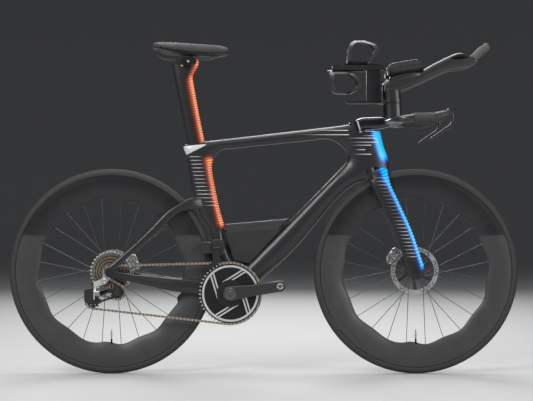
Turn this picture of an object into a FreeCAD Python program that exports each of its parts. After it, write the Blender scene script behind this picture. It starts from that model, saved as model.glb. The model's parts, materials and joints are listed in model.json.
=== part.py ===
import FreeCAD, Part
import math
import os

import Sketcher

V = FreeCAD.Vector
doc = FreeCAD.newDocument("time_trial_bike")

# Driving dimensions, in millimetres, degrees and counts.
SIZES = [
    ("wheelbase", 1010, "distance between the axles"),
    ("tyre_radius", 339, "outside radius of the tyres"),
    ("tyre_width", 28, "width of the tyres"),
    ("tyre_gap", 11, "clearance between the frame and the rear tyre"),
    ("rim_radius", 317, "outer radius of the rims"),
    ("rim_depth", 77, "mean depth of the rims"),
    ("rim_wave", 3.6, "half height of the waves along the inner rim edge"),
    ("rim_wave_count", 12, "waves round one rim"),
    ("rim_width", 28, "widest part of the rims"),
    ("spoke_count", 24, "spokes in one wheel"),
    ("spoke_radius", 1.0, "radius of a spoke"),
    ("chainstay_run", 402, "bottom bracket to rear axle"),
    ("bb_drop", 71, "bottom bracket below the axles"),
    ("bb_shell_radius", 28, "outside radius of the bottom bracket shell"),
    ("bb_shell_width", 70, "width of the bottom bracket shell"),
    ("head_angle", 72.5, "steering axis above the horizontal"),
    ("fork_rake", 43, "front axle ahead of the steering axis"),
    ("seat_angle", 78.3, "seat tube above the horizontal"),
    ("steerer_radius", 14.3, "radius of the steerer"),
    ("bearing_radius", 20.9, "outside radius of the headset bearings"),
    ("bearing_height", 7, "height of the headset bearings"),
    ("running_gap", 0.1, "radial clearance of turning shafts"),
    ("front_axle_span", 100, "fork ends apart"),
    ("rear_axle_span", 142, "frame ends apart"),
    ("axle_radius", 6, "radius of the through axles"),
    ("front_rotor_radius", 80, "radius of the front brake rotor"),
    ("rear_rotor_radius", 70, "radius of the rear brake rotor"),
    ("rotor_thickness", 1.8, "thickness of the brake rotors"),
    ("rib_pitch", 8.1, "distance between the ribs of seat tube and seatpost"),
    ("rib_depth", 1.7, "depth of the scallops between those ribs"),
    ("fork_rib_pitch", 11, "distance between the ribs of the fork"),
    ("fork_rib_depth", 2.2, "depth of the scallops between those ribs"),
    ("chain_pitch", 12.7, "distance between chain pins"),
    ("roller_radius", 3.85, "radius of the chain rollers"),
    ("outer_ring_teeth", 50, "teeth of the outer chainring"),
    ("inner_ring_teeth", 37, "teeth of the inner chainring"),
    ("pulley_teeth", 12, "teeth of both derailleur pulleys"),
    ("ring_plane", 47.5, "outer chainring from the middle of the bike"),
    ("cog_plane", 65, "smallest sprocket from the middle of the bike"),
    ("cog_step", 3.55, "distance between sprockets"),
    ("cage_run", 86, "distance between the derailleur pulleys"),
    ("crank_run", 165, "length of the crank arms"),
    ("crank_tilt", 8.5, "right crank arm above the horizontal"),
    ("spindle_radius", 14.5, "radius of the crank spindle"),
    ("crank_inner", 58.5, "inner face of the crank arms"),
    ("crank_thickness", 13, "thickness of the crank arms"),
    ("pedal_hole_radius", 7.14, "radius of the pedal threads"),
    ("bar_half_width", 200, "grips from the middle of the bike"),
    ("bar_level", 833, "height of the base bar"),
    ("bar_setback", 75, "middle of the base bar behind the front axle"),
    ("grip_radius", 16.5, "radius of the base bar grips"),
    ("arm_spread", 60, "extensions from the middle of the bike"),
    ("bottle_radius", 36.5, "radius of a bottle held by the cages"),
    ("saddle_length", 254, "length of the saddle"),
    ("saddle_width", 142, "width of the saddle"),
    ("saddle_height", 1098, "top of the saddle above the ground"),
    ("saddle_stack", 63.3, "top of the saddle above the head of the post"),
    ("rail_radius", 3.5, "radius of the saddle rails"),
    ("rail_spread", 22, "saddle rails from the middle of the bike"),
]
sheet = doc.addObject("Spreadsheet::Sheet", "Sizes")
for row, (alias, value, note) in enumerate(SIZES, start=1):
    sheet.set(f"A{row}", note)
    sheet.set(f"B{row}", str(value))
    sheet.setAlias(f"B{row}", alias)
doc.recompute()


class Size:
    """A number that keeps the sheet formula it was worked out from."""

    def __init__(self, value, text=None):
        self.value = float(value)
        self.text = text or repr(float(value))

    def __add__(self, other):
        other = as_size(other)
        return Size(self.value + other.value, f"({self.text} + {other.text})")

    def __sub__(self, other):
        other = as_size(other)
        return Size(self.value - other.value, f"({self.text} - {other.text})")

    def __rsub__(self, other):
        return as_size(other) - self

    def __mul__(self, factor):
        return Size(self.value * factor, f"({self.text} * {factor})")

    def __neg__(self):
        return self * -1

    __radd__ = __add__
    __rmul__ = __mul__


def as_size(number):
    return number if isinstance(number, Size) else Size(number)


def cell(alias):
    return Size(sheet.get(alias), f"Sizes.{alias}")


def value(alias):
    return float(sheet.get(alias))


def count(alias):
    return int(round(value(alias)))


NODES = []


def keep(item, label):
    """Names an object as one sub-part of the bike."""
    item.Label = label
    NODES.append(item)
    return item


def part_feature(label, shape):
    """One sub-part whose form is a curved skin or a formula."""
    item = doc.addObject("Part::Feature", label)
    item.Shape = shape
    return keep(item, label)


def body_plane(body, role):
    for plane in body.Origin.OriginFeatures:
        if plane.Role == role:
            return plane


def bind(sketch, index, size):
    sketch.setExpression(f"Constraints[{index}]", size.text)


def pin_point(sketch, geometry, point, x, y):
    """Holds a sketch point at sizes measured from the sketch origin."""
    for kind, axis, size in (("DistanceX", -2, as_size(x)), ("DistanceY", -1, as_size(y))):
        if abs(size.value) < 1e-9:
            sketch.addConstraint(Sketcher.Constraint("PointOnObject", geometry, point, axis))
        else:
            index = sketch.addConstraint(Sketcher.Constraint(kind, -1, 1, geometry, point, size.value))
            bind(sketch, index, size)


def new_sketch(body, role, name):
    sketch = body.newObject("Sketcher::SketchObject", name)
    sketch.AttachmentSupport = [(body_plane(body, role), "")]
    sketch.MapMode = "FlatFace"
    return sketch


def corner_sketch(body, role, name, corners):
    """A closed outline of straight lines between sized corners."""
    sketch = new_sketch(body, role, name)
    corners = [(as_size(x), as_size(y)) for x, y in corners]
    spots = [V(x.value, y.value, 0) for x, y in corners]
    total = len(spots)
    for k in range(total):
        sketch.addGeometry(Part.LineSegment(spots[k], spots[(k + 1) % total]), False)
    for k in range(total):
        sketch.addConstraint(Sketcher.Constraint("Coincident", k, 2, (k + 1) % total, 1))
    for k in range(total):
        pin_point(sketch, k, 1, *corners[k])
    return sketch


def place(item, x=0, y=0, z=0):
    """Puts an object at sizes from the sheet."""
    for axis, size in (("x", as_size(x)), ("y", as_size(y)), ("z", as_size(z))):
        item.setExpression(f"Placement.Base.{axis}", size.text)


def turned(label, rings, x=0, y=0, z=0):
    """A turned body: an outline of radius and axial place, round the Y axis."""
    body = doc.addObject("PartDesign::Body", label)
    sketch = corner_sketch(body, "XY_Plane", label + "_outline", rings)
    feature = body.newObject("PartDesign::Revolution", label + "_turn")
    feature.Profile = sketch
    feature.ReferenceAxis = (sketch, ["V_Axis"])
    feature.Angle = 360
    sketch.Visibility = False
    place(body, x, y, z)
    return body


SECTION_POINTS = 20


def oval(centre, half_a, half_b, nose=2.0, tail=2.0):
    """Points of a closed section; nose and tail set how square its two ends are."""
    spots = []
    for k in range(SECTION_POINTS):
        angle = 2 * math.pi * k / SECTION_POINTS
        along, across = math.cos(angle), math.sin(angle)
        power = 2.0 / (nose if along >= 0 else tail)
        spots.append(
            centre
            + half_a * math.copysign(abs(along) ** power, along)
            + half_b * math.copysign(abs(across) ** power, across)
        )
    return spots


def aero(lead, trail, half_width, centre_y=0.0, nose=2.0, tail=2.6):
    """A section between two edge points (x, z) of the side view."""
    a, b = V(lead[0], centre_y, lead[1]), V(trail[0], centre_y, trail[1])
    return oval((a + b) * 0.5, (a - b) * 0.5, V(0, half_width, 0), nose, tail)


def through(spots, periodic):
    """Smooth curve through points at even steps."""
    steps = len(spots) if periodic else len(spots) - 1
    curve = Part.BSplineCurve()
    curve.interpolate(Points=spots, PeriodicFlag=periodic, Parameters=[k / steps for k in range(steps + 1)])
    return curve


def skin(sections, ring=False):
    """Solid with a smooth skin over sections of equal point count, open or joined in a ring."""
    rounds = [through(spots, True) for spots in sections]
    lengths = [through(list(poles), ring) for poles in zip(*[curve.getPoles() for curve in rounds])]
    surface = Part.BSplineSurface()
    surface.buildFromPolesMultsKnots(
        [list(row) for row in zip(*[curve.getPoles() for curve in lengths])],
        lengths[0].getMultiplicities(),
        rounds[0].getMultiplicities(),
        lengths[0].getKnots(),
        rounds[0].getKnots(),
        ring,
        True,
        lengths[0].Degree,
        rounds[0].Degree,
    )
    faces = [surface.toShape()]
    if not ring:
        faces += [Part.Face(Part.Wire([surface.uIso(end).toShape()])) for end in (0.0, 1.0)]
    shell = Part.Shell(faces)
    if not ring:
        shell.sewShape()
    solid = Part.Solid(shell)
    if solid.Volume < 0:
        solid.reverse()
    return solid


def mirrored(shape):
    return shape.mirror(V(0, 0, 0), V(0, 1, 0))


def bar_y(x, z, radius, y_from, y_to):
    """Round bar along Y between two lateral places."""
    return Part.makeCylinder(radius, abs(y_to - y_from), V(x, min(y_from, y_to), z), V(0, 1, 0))


def side_plate(points, y_from, y_to):
    """Plate between two lateral places, outlined by (x, z) points of the side view."""
    low = min(y_from, y_to)
    wire = Part.makePolygon([V(x, low, z) for x, z in points] + [V(points[0][0], low, points[0][1])])
    return Part.Face(wire).extrude(V(0, abs(y_to - y_from), 0))


def belt_plate(start, end, start_radius, end_radius, y_from, y_to):
    """Plate round two circles (x, z) and their common tangents."""
    run = math.dist(start, end)
    heading = math.atan2(end[1] - start[1], end[0] - start[0])
    lean = math.acos((start_radius - end_radius) / run)
    low = min(y_from, y_to)

    def spot(centre, radius, angle):
        return V(centre[0] + radius * math.cos(angle), low, centre[1] + radius * math.sin(angle))

    edges = [
        Part.Arc(
            spot(start, start_radius, heading + lean),
            spot(start, start_radius, heading + math.pi),
            spot(start, start_radius, heading - lean),
        ).toShape(),
        Part.makeLine(spot(start, start_radius, heading - lean), spot(end, end_radius, heading - lean)),
        Part.Arc(
            spot(end, end_radius, heading - lean),
            spot(end, end_radius, heading),
            spot(end, end_radius, heading + lean),
        ).toShape(),
        Part.makeLine(spot(end, end_radius, heading + lean), spot(start, start_radius, heading + lean)),
    ]
    return Part.Face(Part.Wire(edges)).extrude(V(0, abs(y_to - y_from), 0))


# Main places of the side view, as (x, z).
AXLE_Z = value("tyre_radius")
REAR = (-value("wheelbase") / 2, AXLE_Z)
FRONT = (value("wheelbase") / 2, AXLE_Z)
BB = (
    REAR[0] + math.sqrt(value("chainstay_run") ** 2 - value("bb_drop") ** 2),
    AXLE_Z - value("bb_drop"),
)
HEAD = math.radians(value("head_angle"))
SEAT = math.radians(value("seat_angle"))
STEER_UP = V(-math.cos(HEAD), 0, math.sin(HEAD))
STEER_AHEAD = V(math.sin(HEAD), 0, math.cos(HEAD))
STEER_FOOT = V(FRONT[0], 0, FRONT[1]) - STEER_AHEAD * value("fork_rake")


def steer_spot(up, ahead, across=0.0):
    """Place measured along, ahead of and across the steering axis."""
    return STEER_FOOT + STEER_UP * up + STEER_AHEAD * ahead + V(0, across, 0)


def steer_xz(up, ahead):
    spot = steer_spot(up, ahead)
    return (spot.x, spot.z)


def seat_xz(up, ahead):
    """Place measured along and ahead of the seat tube line from the bottom bracket."""
    return (
        BB[0] - up * math.cos(SEAT) + ahead * math.sin(SEAT),
        BB[1] + up * math.sin(SEAT) + ahead * math.cos(SEAT),
    )


def behind_seat(up):
    """How far behind the seat line the frame may reach at a height, clear of the tyre."""
    base = seat_xz(up, 0)
    dx, dz = base[0] - REAR[0], base[1] - REAR[1]
    half = dx * math.sin(SEAT) + dz * math.cos(SEAT)
    limit = value("tyre_radius") + value("tyre_gap")
    return -half + math.sqrt(half * half - (dx * dx + dz * dz - limit * limit))


def mix(a, b, part):
    return (a[0] + (b[0] - a[0]) * part, a[1] + (b[1] - a[1]) * part)


STEER_TURN = FreeCAD.Rotation(V(0, 1, 0), -math.degrees(math.pi / 2 - HEAD))


def steer_ring(profile, sweep=360.0, start=0.0):
    """Solid turned round the steering axis from (radius, up) corners."""
    wire = Part.makePolygon([V(r, 0, t) for r, t in profile] + [V(profile[0][0], 0, profile[0][1])])
    solid = Part.Face(wire).revolve(V(0, 0, 0), V(0, 0, 1), sweep)
    solid.rotate(V(0, 0, 0), V(0, 0, 1), start)
    solid.Placement = FreeCAD.Placement(STEER_FOOT, STEER_TURN).multiply(solid.Placement)
    return solid


def scallops(edge_spots, radius, depth, half_width):
    """Round bars across the bike that cut scallops into a leading edge."""
    bars = []
    for (x, z), ahead in edge_spots:
        shift = radius - depth
        bars.append(bar_y(x + ahead[0] * shift, z + ahead[1] * shift, radius, -half_width, half_width))
    return bars

# Frame: one moulded shell. Each tube is a smooth skin over sections that are
# given by the edges seen from the side and a half width.
HEAD_TOP = 497.0
HEAD_FOOT = 372.0
CROWN_RADIUS = 25.3
POST_LEAD = 17.0
POST_TRAIL = -39.0
POST_HALF = 11.0
POST_FOOT = 420.0
COLLAR = 508.0


def bb_xz(ahead, up):
    return (BB[0] + ahead, BB[1] + up)


top_rear, top_front = seat_xz(508, 18), steer_xz(531, -29)
low_rear, low_front = seat_xz(470, 68), steer_xz(509, -112)
bend_up, bend_low = steer_xz(364, -158), steer_xz(305, -141)
run_up, run_low = bb_xz(169, 210), bb_xz(221, 154)

# The main triangle is one closed skin: each section joins a point of the inner
# edge to a point of the outer edge, and fans round the three corners.
triangle_stations = [
    (seat_xz(235, 24), seat_xz(235, behind_seat(235)), 17),
    (seat_xz(300, 20), seat_xz(300, -53), 17),
    (seat_xz(360, 20), seat_xz(360, -57), 17),
    (seat_xz(412, 21.5), seat_xz(428, -54), 17),
    (seat_xz(434, 27), seat_xz(474, -51), 17),
    (seat_xz(448, 35), seat_xz(509, -53), 17),
    (seat_xz(460, 49), seat_xz(510, -15), 17),
    (low_rear, seat_xz(508, 18), 16.5),
    (mix(low_rear, low_front, 0.09), mix(top_rear, top_front, 0.14), 16),
    (mix(low_rear, low_front, 0.27), mix(top_rear, top_front, 0.32), 16.5),
    (mix(low_rear, low_front, 0.56), mix(top_rear, top_front, 0.54), 17.5),
    (mix(low_rear, low_front, 0.85), mix(top_rear, top_front, 0.75), 19),
    (low_front, mix(top_rear, top_front, 0.9), 20),
    (steer_xz(488, -81), steer_xz(531, -22), 21),
    (steer_xz(467, -66), steer_xz(522, 32), 22),
    (steer_xz(451, -59), steer_xz(498, 67), 22.5),
    (steer_xz(436, -58), steer_xz(440, 66), 22.5),
    (steer_xz(425, -60), steer_xz(396, 67), 22.5),
    (steer_xz(416, -66), steer_xz(364, 65), 22.5),
    (steer_xz(407, -78), steer_xz(340, 52), 22.5),
    (steer_xz(396, -98), steer_xz(334, -2), 22.5),
    (steer_xz(383, -122), steer_xz(336, -68), 22.5),
    (bend_up, bend_low, 23),
    (mix(bend_up, run_up, 0.27), mix(bend_low, run_low, 0.22), 23.5),
    (mix(bend_up, run_up, 0.55), mix(bend_low, run_low, 0.5), 24),
    (run_up, run_low, 25),
    (bb_xz(99, 140), bb_xz(151, 86), 26.5),
    (bb_xz(57, 98), bb_xz(98, 38), 28),
    (bb_xz(43, 90), bb_xz(36, -27), 30),
    (bb_xz(33, 90), bb_xz(-4, -35), 31),
    (bb_xz(23, 96), bb_xz(-32, -14), 30),
    (seat_xz(119, 26), seat_xz(92, behind_seat(92)), 24),
    (seat_xz(158, 18), seat_xz(150, behind_seat(150)), 19.5),
    (seat_xz(189, 16), seat_xz(187, behind_seat(187)), 17.5),
    (seat_xz(212, 21), seat_xz(212, behind_seat(212)), 17),
]
triangle = skin([aero(outer, inner, half, 0, 2.2, 2.4) for inner, outer, half in triangle_stations], True)


def rear_spot(ahead, up):
    return (REAR[0] + ahead, REAR[1] + up)


def stay_section(upper, lower, centre_y, half_width):
    return aero(upper, lower, half_width, centre_y, 2.4, 2.4)


seat_stay = skin(
    [
        stay_section(seat_xz(332, -26), seat_xz(290, -24), 6, 5.5),
        stay_section(seat_xz(334, -60), seat_xz(294, -62), 19, 7.5),
        stay_section(rear_spot(230, 227), rear_spot(233, 197), 27, 7),
        stay_section(rear_spot(180, 194), rear_spot(197, 170), 35, 6.5),
        stay_section(rear_spot(131, 142), rear_spot(148, 124), 45, 6.5),
        stay_section(rear_spot(65, 79), rear_spot(81, 65), 62, 6),
        stay_section(rear_spot(12, 32), rear_spot(34, 25), 75, 4.4),
        stay_section(rear_spot(-13, 8), rear_spot(15, -2), 76.2, 4.2),
    ]
)
chain_stay = skin(
    [
        stay_section(rear_spot(2, 10), rear_spot(-4, -17), 76, 4.1),
        stay_section(rear_spot(49, -3), rear_spot(51, -27), 73, 5),
        stay_section(rear_spot(95, -10), rear_spot(98, -38), 63, 6),
        stay_section(rear_spot(155, -16), rear_spot(160, -54), 49, 7),
        stay_section((BB[0] - 183, BB[1] + 48), (BB[0] - 176, BB[1] + 5), 36, 7.5),
        stay_section((BB[0] - 121, BB[1] + 43), (BB[0] - 116, BB[1] - 3), 28.5, 7.5),
        stay_section((BB[0] - 66, BB[1] + 37), (BB[0] - 61, BB[1] - 11), 26.5, 7.5),
        stay_section((BB[0] - 4, BB[1] + 22), (BB[0] - 4, BB[1] - 22), 22, 9),
    ]
)
half_rear = value("rear_axle_span") / 2
dropout = bar_y(REAR[0], REAR[1], 15, half_rear, half_rear + 10.5)
stays = seat_stay.multiFuse([chain_stay, dropout])
half_shell = value("bb_shell_width") / 2
shell = bar_y(BB[0], BB[1], value("bb_shell_radius"), -half_shell, half_shell)
frame_shape = triangle.multiFuse([shell, stays, mirrored(stays)])

# The steerer runs in a bore with a bearing seat at each end; the stem turns in a
# round pocket above, the fork crown in one below.
gap = value("running_gap")
frame_cuts = [
    steer_ring([
        (0, 300),
        (value("steerer_radius") + 1, 300),
        (value("steerer_radius") + 1, 600),
        (0, 600),
    ]),
    steer_ring([(0, HEAD_TOP - value("bearing_height")),
                (value("bearing_radius"), HEAD_TOP - value("bearing_height")),
                (value("bearing_radius"), 600), (0, 600)]),
    steer_ring([(0, 250),
                (value("bearing_radius"), 250),
                (value("bearing_radius"), HEAD_FOOT + value("bearing_height")),
                (0, HEAD_FOOT + value("bearing_height"))]),
    steer_ring([(0, HEAD_TOP), (22, HEAD_TOP), (22, 600), (0, 600)]),
    steer_ring([(0, HEAD_TOP), (16, HEAD_TOP), (100, HEAD_TOP - 28), (100, 600), (0, 600)], 180, -90),
    steer_ring([(0, 250), (26.3, 250), (26.3, HEAD_FOOT), (0, HEAD_FOOT)]),
    steer_ring([(0, 250), (120, 250), (120, 331), (59, 351), (34, HEAD_FOOT), (0, HEAD_FOOT)], 180, -90),
]

# Pocket for the seatpost, bores for the bottom bracket and the rear axle.
frame_cuts.append(
    skin(
        [
            aero(seat_xz(up, POST_LEAD + 0.3), seat_xz(up, POST_TRAIL - 0.3), POST_HALF + 0.3)
            for up in (POST_FOOT - 12, COLLAR + 30)
        ]
    )
)
frame_cuts.append(bar_y(BB[0], BB[1], 18, -60, 60))
frame_cuts.append(bar_y(REAR[0], REAR[1], value("axle_radius") + 0.05, -120, 120))
frame_cuts.append(bar_y(REAR[0], REAR[1], 16.5, -half_rear - 4.2, -half_rear + 8))
frame_cuts.append(bar_y(FRONT[0], FRONT[1], value("tyre_radius") + 8, -60, 60))
frame_cuts.append(
    Part.makeCylinder(value("tyre_radius") + 6, 38, V(REAR[0], -19, REAR[1]), V(0, 1, 0))
)

# Scalloped leading edge of the seat tube.
seat_ahead = (math.sin(SEAT), math.cos(SEAT))


def seat_ribs(up_from, up_to, lead):
    pitch = value("rib_pitch")
    total = int((up_to - up_from) / pitch)
    return [(seat_xz(up_from + k * pitch, lead(up_from + k * pitch)), seat_ahead) for k in range(total + 1)]


def seat_lead(up):
    """Leading edge of the ribbed stretch of the seat tube, read between its sections."""
    stations = [(235, 24.0), (260, 21.6), (300, 20.0), (360, 20.0), (405, 21.4)]
    for (low, a), (high, b) in zip(stations, stations[1:]):
        if up <= high:
            return a + (b - a) * (up - low) / (high - low)
    return stations[-1][1]


rib_radius = 5.5
frame_cuts += scallops(seat_ribs(238, 404, seat_lead), rib_radius, value("rib_depth"), 40)
frame_shape = frame_shape.cut(frame_cuts)
frame_node = part_feature("frame", frame_shape)

# Headset bearings: two rings between the frame and the steerer.
headset = [
    steer_ring(
        [
            (value("steerer_radius") + gap, foot),
            (value("bearing_radius") - 0.02, foot),
            (value("bearing_radius") - 0.02, foot + value("bearing_height")),
            (value("steerer_radius") + gap, foot + value("bearing_height")),
        ]
    )
    for foot in (HEAD_FOOT, HEAD_TOP - value("bearing_height"))
]
part_feature("headset_bearings", Part.makeCompound(headset))

# Fork: one skin from end to end over the crown, with ribbed leading edges and the steerer.
# Each station is up, side, lead, trail, half thickness and turn of the section.
blade_stations = [
    (-16, 57, 57, 20, 5.5, 0),
    (0, 57, 67, 13, 6.5, 0),
    (22, 57, 70, 13, 6.5, 0),
    (61, 55, 69.5, 13, 7, 0),
    (104, 51, 69.5, 12.5, 7.5, 0),
    (150, 46.5, 67, 9.5, 8, 0),
    (200, 41.5, 61, 3.5, 8.5, 0),
    (250, 36.5, 55, -3.5, 9, 4),
    (295, 32, 49, -11, 10, 14),
    (331, 25, 50.5, -16, 12, 42),
    (351, 12, 53, -20, 14, 74),
]


def blade_section(up, side, lead, trail, half, turn, hand):
    lean = math.radians(turn)
    across = V(0, hand * math.cos(lean), 0) + STEER_UP * math.sin(lean)
    ahead = STEER_AHEAD * ((lead - trail) / 2)
    return oval(steer_spot(up, (lead + trail) / 2, hand * side), ahead, across * half, 2.0, 2.4)


half_front = value("front_axle_span") / 2
fork_end = bar_y(FRONT[0], FRONT[1], 13, half_front, half_front + 8)
steerer = steer_ring(
    [
        (0, 356),
        (22, 356),
        (22, HEAD_FOOT - 0.4),
        (value("steerer_radius"), HEAD_FOOT - 0.4),
        (value("steerer_radius"), 531),
        (0, 531),
    ]
)
arch = (
    [blade_section(*station, 1) for station in blade_stations]
    + [blade_section(355, 0, 55, -22, 15, 90, 1)]
    + [blade_section(*station, -1) for station in reversed(blade_stations)]
)
fork_body = skin(arch).multiFuse([fork_end, mirrored(fork_end)])
crown_top = steer_ring(
    [(0, HEAD_FOOT - 0.4), (33.6, HEAD_FOOT - 0.4), (58.6, 350.6), (140, 324), (140, 420), (0, 420)]
)
behind_crown = steer_ring([(CROWN_RADIUS, 333), (120, 333), (120, 420), (CROWN_RADIUS, 420)], 180, 90)
tyre_room = bar_y(FRONT[0], FRONT[1], value("tyre_radius") + 7, -19.5, 19.5)
axle_hole = bar_y(FRONT[0], FRONT[1], value("axle_radius") + 0.05, -120, 120)


def fork_lead(up):
    for (low, _, a, *_), (high, _, b, *_) in zip(blade_stations, blade_stations[1:]):
        if up <= high:
            return a + (b - a) * (up - low) / (high - low)
    return blade_stations[-1][2]


fork_pitch = value("fork_rib_pitch")
fork_edges = [
    (steer_xz(34 + k * fork_pitch, fork_lead(34 + k * fork_pitch)), (math.sin(HEAD), math.cos(HEAD)))
    for k in range(int((335 - 34) / fork_pitch) + 1)
]
fork_shape = fork_body.cut(
    [crown_top, behind_crown, tyre_room, axle_hole] + scallops(fork_edges, 7.5, value("fork_rib_depth"), 90)
)
fork_node = part_feature("fork", fork_shape.fuse(steerer).removeSplitter())

# Wheels. The rim depth follows a cosine round the wheel; spokes end at its deep and
# shallow points in turn, and the valve points up from the ground.
SPOKE_START = math.pi / value("spoke_count")


def rim_inner(angle):
    """Inner radius of the rim at an angle from straight down."""
    wave = value("rim_wave") * math.cos(value("rim_wave_count") * (angle - SPOKE_START))
    return value("rim_radius") - value("rim_depth") - wave


RIM_SIDE = [
    (0.0, 0.93),
    (0.03, 0.96),
    (0.16, 1.0),
    (0.36, 0.96),
    (0.6, 0.8),
    (0.8, 0.57),
    (0.93, 0.34),
    (0.985, 0.16),
]


def rim_section(centre, angle):
    """Points of the rim section at an angle: round nose, bowed sides, flat tyre seat."""
    outward = V(-math.sin(angle), 0, -math.cos(angle))
    half = value("rim_width") / 2
    outer, inner = value("rim_radius") - 0.4, rim_inner(angle)
    rise = [(outer - (outer - inner) * part, half * share) for part, share in RIM_SIDE]
    spots = [centre + outward * r + V(0, y, 0) for r, y in rise]
    spots.append(centre + outward * inner)
    spots += [centre + outward * r - V(0, y, 0) for r, y in reversed(rise)]
    spots += [centre + outward * outer - V(0, half * share, 0) for share in (0.62, 0.31, 0.0, -0.31, -0.62)]
    return spots


def tyre(label, axle):
    """Tyre: a round crown over a flat seat, turned round the axle."""
    body = doc.addObject("PartDesign::Body", label)
    sketch = new_sketch(body, "XY_Plane", label + "_outline")
    crown = value("tyre_width") / 2
    middle = value("tyre_radius") - crown
    drop = middle - value("rim_radius")
    half_seat = math.sqrt(crown * crown - drop * drop)
    left, right = V(value("rim_radius"), half_seat, 0), V(value("rim_radius"), -half_seat, 0)
    sketch.addGeometry(Part.Arc(right, V(value("tyre_radius"), 0, 0), left), False)
    sketch.addGeometry(Part.LineSegment(left, right), False)
    sketch.addConstraint(Sketcher.Constraint("Coincident", 0, 2, 1, 1))
    sketch.addConstraint(Sketcher.Constraint("Coincident", 1, 2, 0, 1))
    sketch.addConstraint(Sketcher.Constraint("Vertical", 1))
    bind(sketch, sketch.addConstraint(Sketcher.Constraint("Radius", 0, crown)), cell("tyre_width") * 0.5)
    pin_point(sketch, 0, 3, cell("tyre_radius") - cell("tyre_width") * 0.5, 0)
    bind(
        sketch,
        sketch.addConstraint(Sketcher.Constraint("DistanceX", -1, 1, 1, 1, value("rim_radius"))),
        cell("rim_radius"),
    )
    feature = body.newObject("PartDesign::Revolution", label + "_turn")
    feature.Profile = sketch
    feature.ReferenceAxis = (sketch, ["V_Axis"])
    feature.Angle = 360
    place(body, axle, 0, cell("tyre_radius"))
    return keep(body, label)


def wheel_spokes(centre, flange_left, flange_right, flange_radius):
    """Two crossed sets of round spokes between the flanges and the rim."""
    solids = []
    total = count("spoke_count")
    for k in range(total):
        angle = SPOKE_START + 2 * math.pi * k / total
        side = flange_left if k % 2 == 0 else flange_right
        lead = 1 if (k // 2) % 2 == 0 else -1
        root = angle + lead * math.radians(62)
        offset = 1.7 * lead
        start = centre + V(-math.sin(root) * flange_radius, side + offset, -math.cos(root) * flange_radius)
        reach = rim_inner(angle) + 4
        end = centre + V(-math.sin(angle) * reach, 0, -math.cos(angle) * reach)
        solids.append(Part.makeCylinder(value("spoke_radius"), (end - start).Length, start, end - start))
    return Part.makeCompound(solids)


def rotor(centre, y, radius):
    """Brake rotor: slotted ring on six curved-in arms."""
    thickness = value("rotor_thickness")
    low = y - thickness / 2
    ring = bar_y(centre.x, centre.z, radius, low, low + thickness)
    ring = ring.cut(bar_y(centre.x, centre.z, radius - 15, low - 1, low + thickness + 1))
    slots = []
    for k in range(24):
        angle = 2 * math.pi * k / 24
        tilt = angle + (0.12 if k % 2 else -0.12)
        a = (centre.x + (radius - 11.5) * math.cos(angle), centre.z + (radius - 11.5) * math.sin(angle))
        b = (centre.x + (radius - 3.8) * math.cos(tilt), centre.z + (radius - 3.8) * math.sin(tilt))
        slots.append(belt_plate(a, b, 1.5, 1.45, low - 1, low + thickness + 1))
    ring = ring.cut(slots)
    arms = [bar_y(centre.x, centre.z, 25, low, low + thickness)]
    for k in range(6):
        angle = 2 * math.pi * k / 6 + 0.26
        a = (centre.x + 20 * math.cos(angle), centre.z + 20 * math.sin(angle))
        outer = radius - 13
        b = (centre.x + outer * math.cos(angle + 0.3), centre.z + outer * math.sin(angle + 0.3))
        arms.append(belt_plate(a, b, 6.5, 5, low, low + thickness))
    whole = ring.multiFuse(arms)
    return whole.cut(bar_y(centre.x, centre.z, 17.05, low - 1, low + thickness + 1)).removeSplitter()


def valve(centre):
    """Tyre valve below the axle: nut, stem and slim tip."""
    top = centre.z - rim_inner(0) + 0.5
    nut = Part.makeCylinder(4.2, 6.5, V(centre.x, 0, top - 1.5), V(0, 0, 1))
    stem = Part.makeCylinder(2.9, 34, V(centre.x, 0, top), V(0, 0, 1))
    tip = Part.makeCylinder(1.9, 46, V(centre.x, 0, top), V(0, 0, 1))
    return nut.multiFuse([stem, tip])


def wheel(side, axle, axle_x, hub_rings, flanges, flange_radius, rotor_y, rotor_radius):
    centre = V(axle_x, 0, AXLE_Z)
    tyre(side + "_tyre", axle)
    steps = 2 * count("rim_wave_count")
    angles = [SPOKE_START + 2 * math.pi * k / steps for k in range(steps)]
    rim = skin([rim_section(centre, angle) for angle in angles], True)
    valve_shape = valve(centre)
    spokes = wheel_spokes(centre, flanges[0], flanges[1], flange_radius)
    part_feature(side + "_rim", rim)
    part_feature(side + "_spokes", spokes)
    part_feature(side + "_valve", valve_shape.cut(rim))
    keep(turned(side + "_hub", hub_rings, axle, 0, cell("tyre_radius")), side + "_hub")
    part_feature(side + "_rotor", rotor(centre, rotor_y, rotor_radius))


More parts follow.
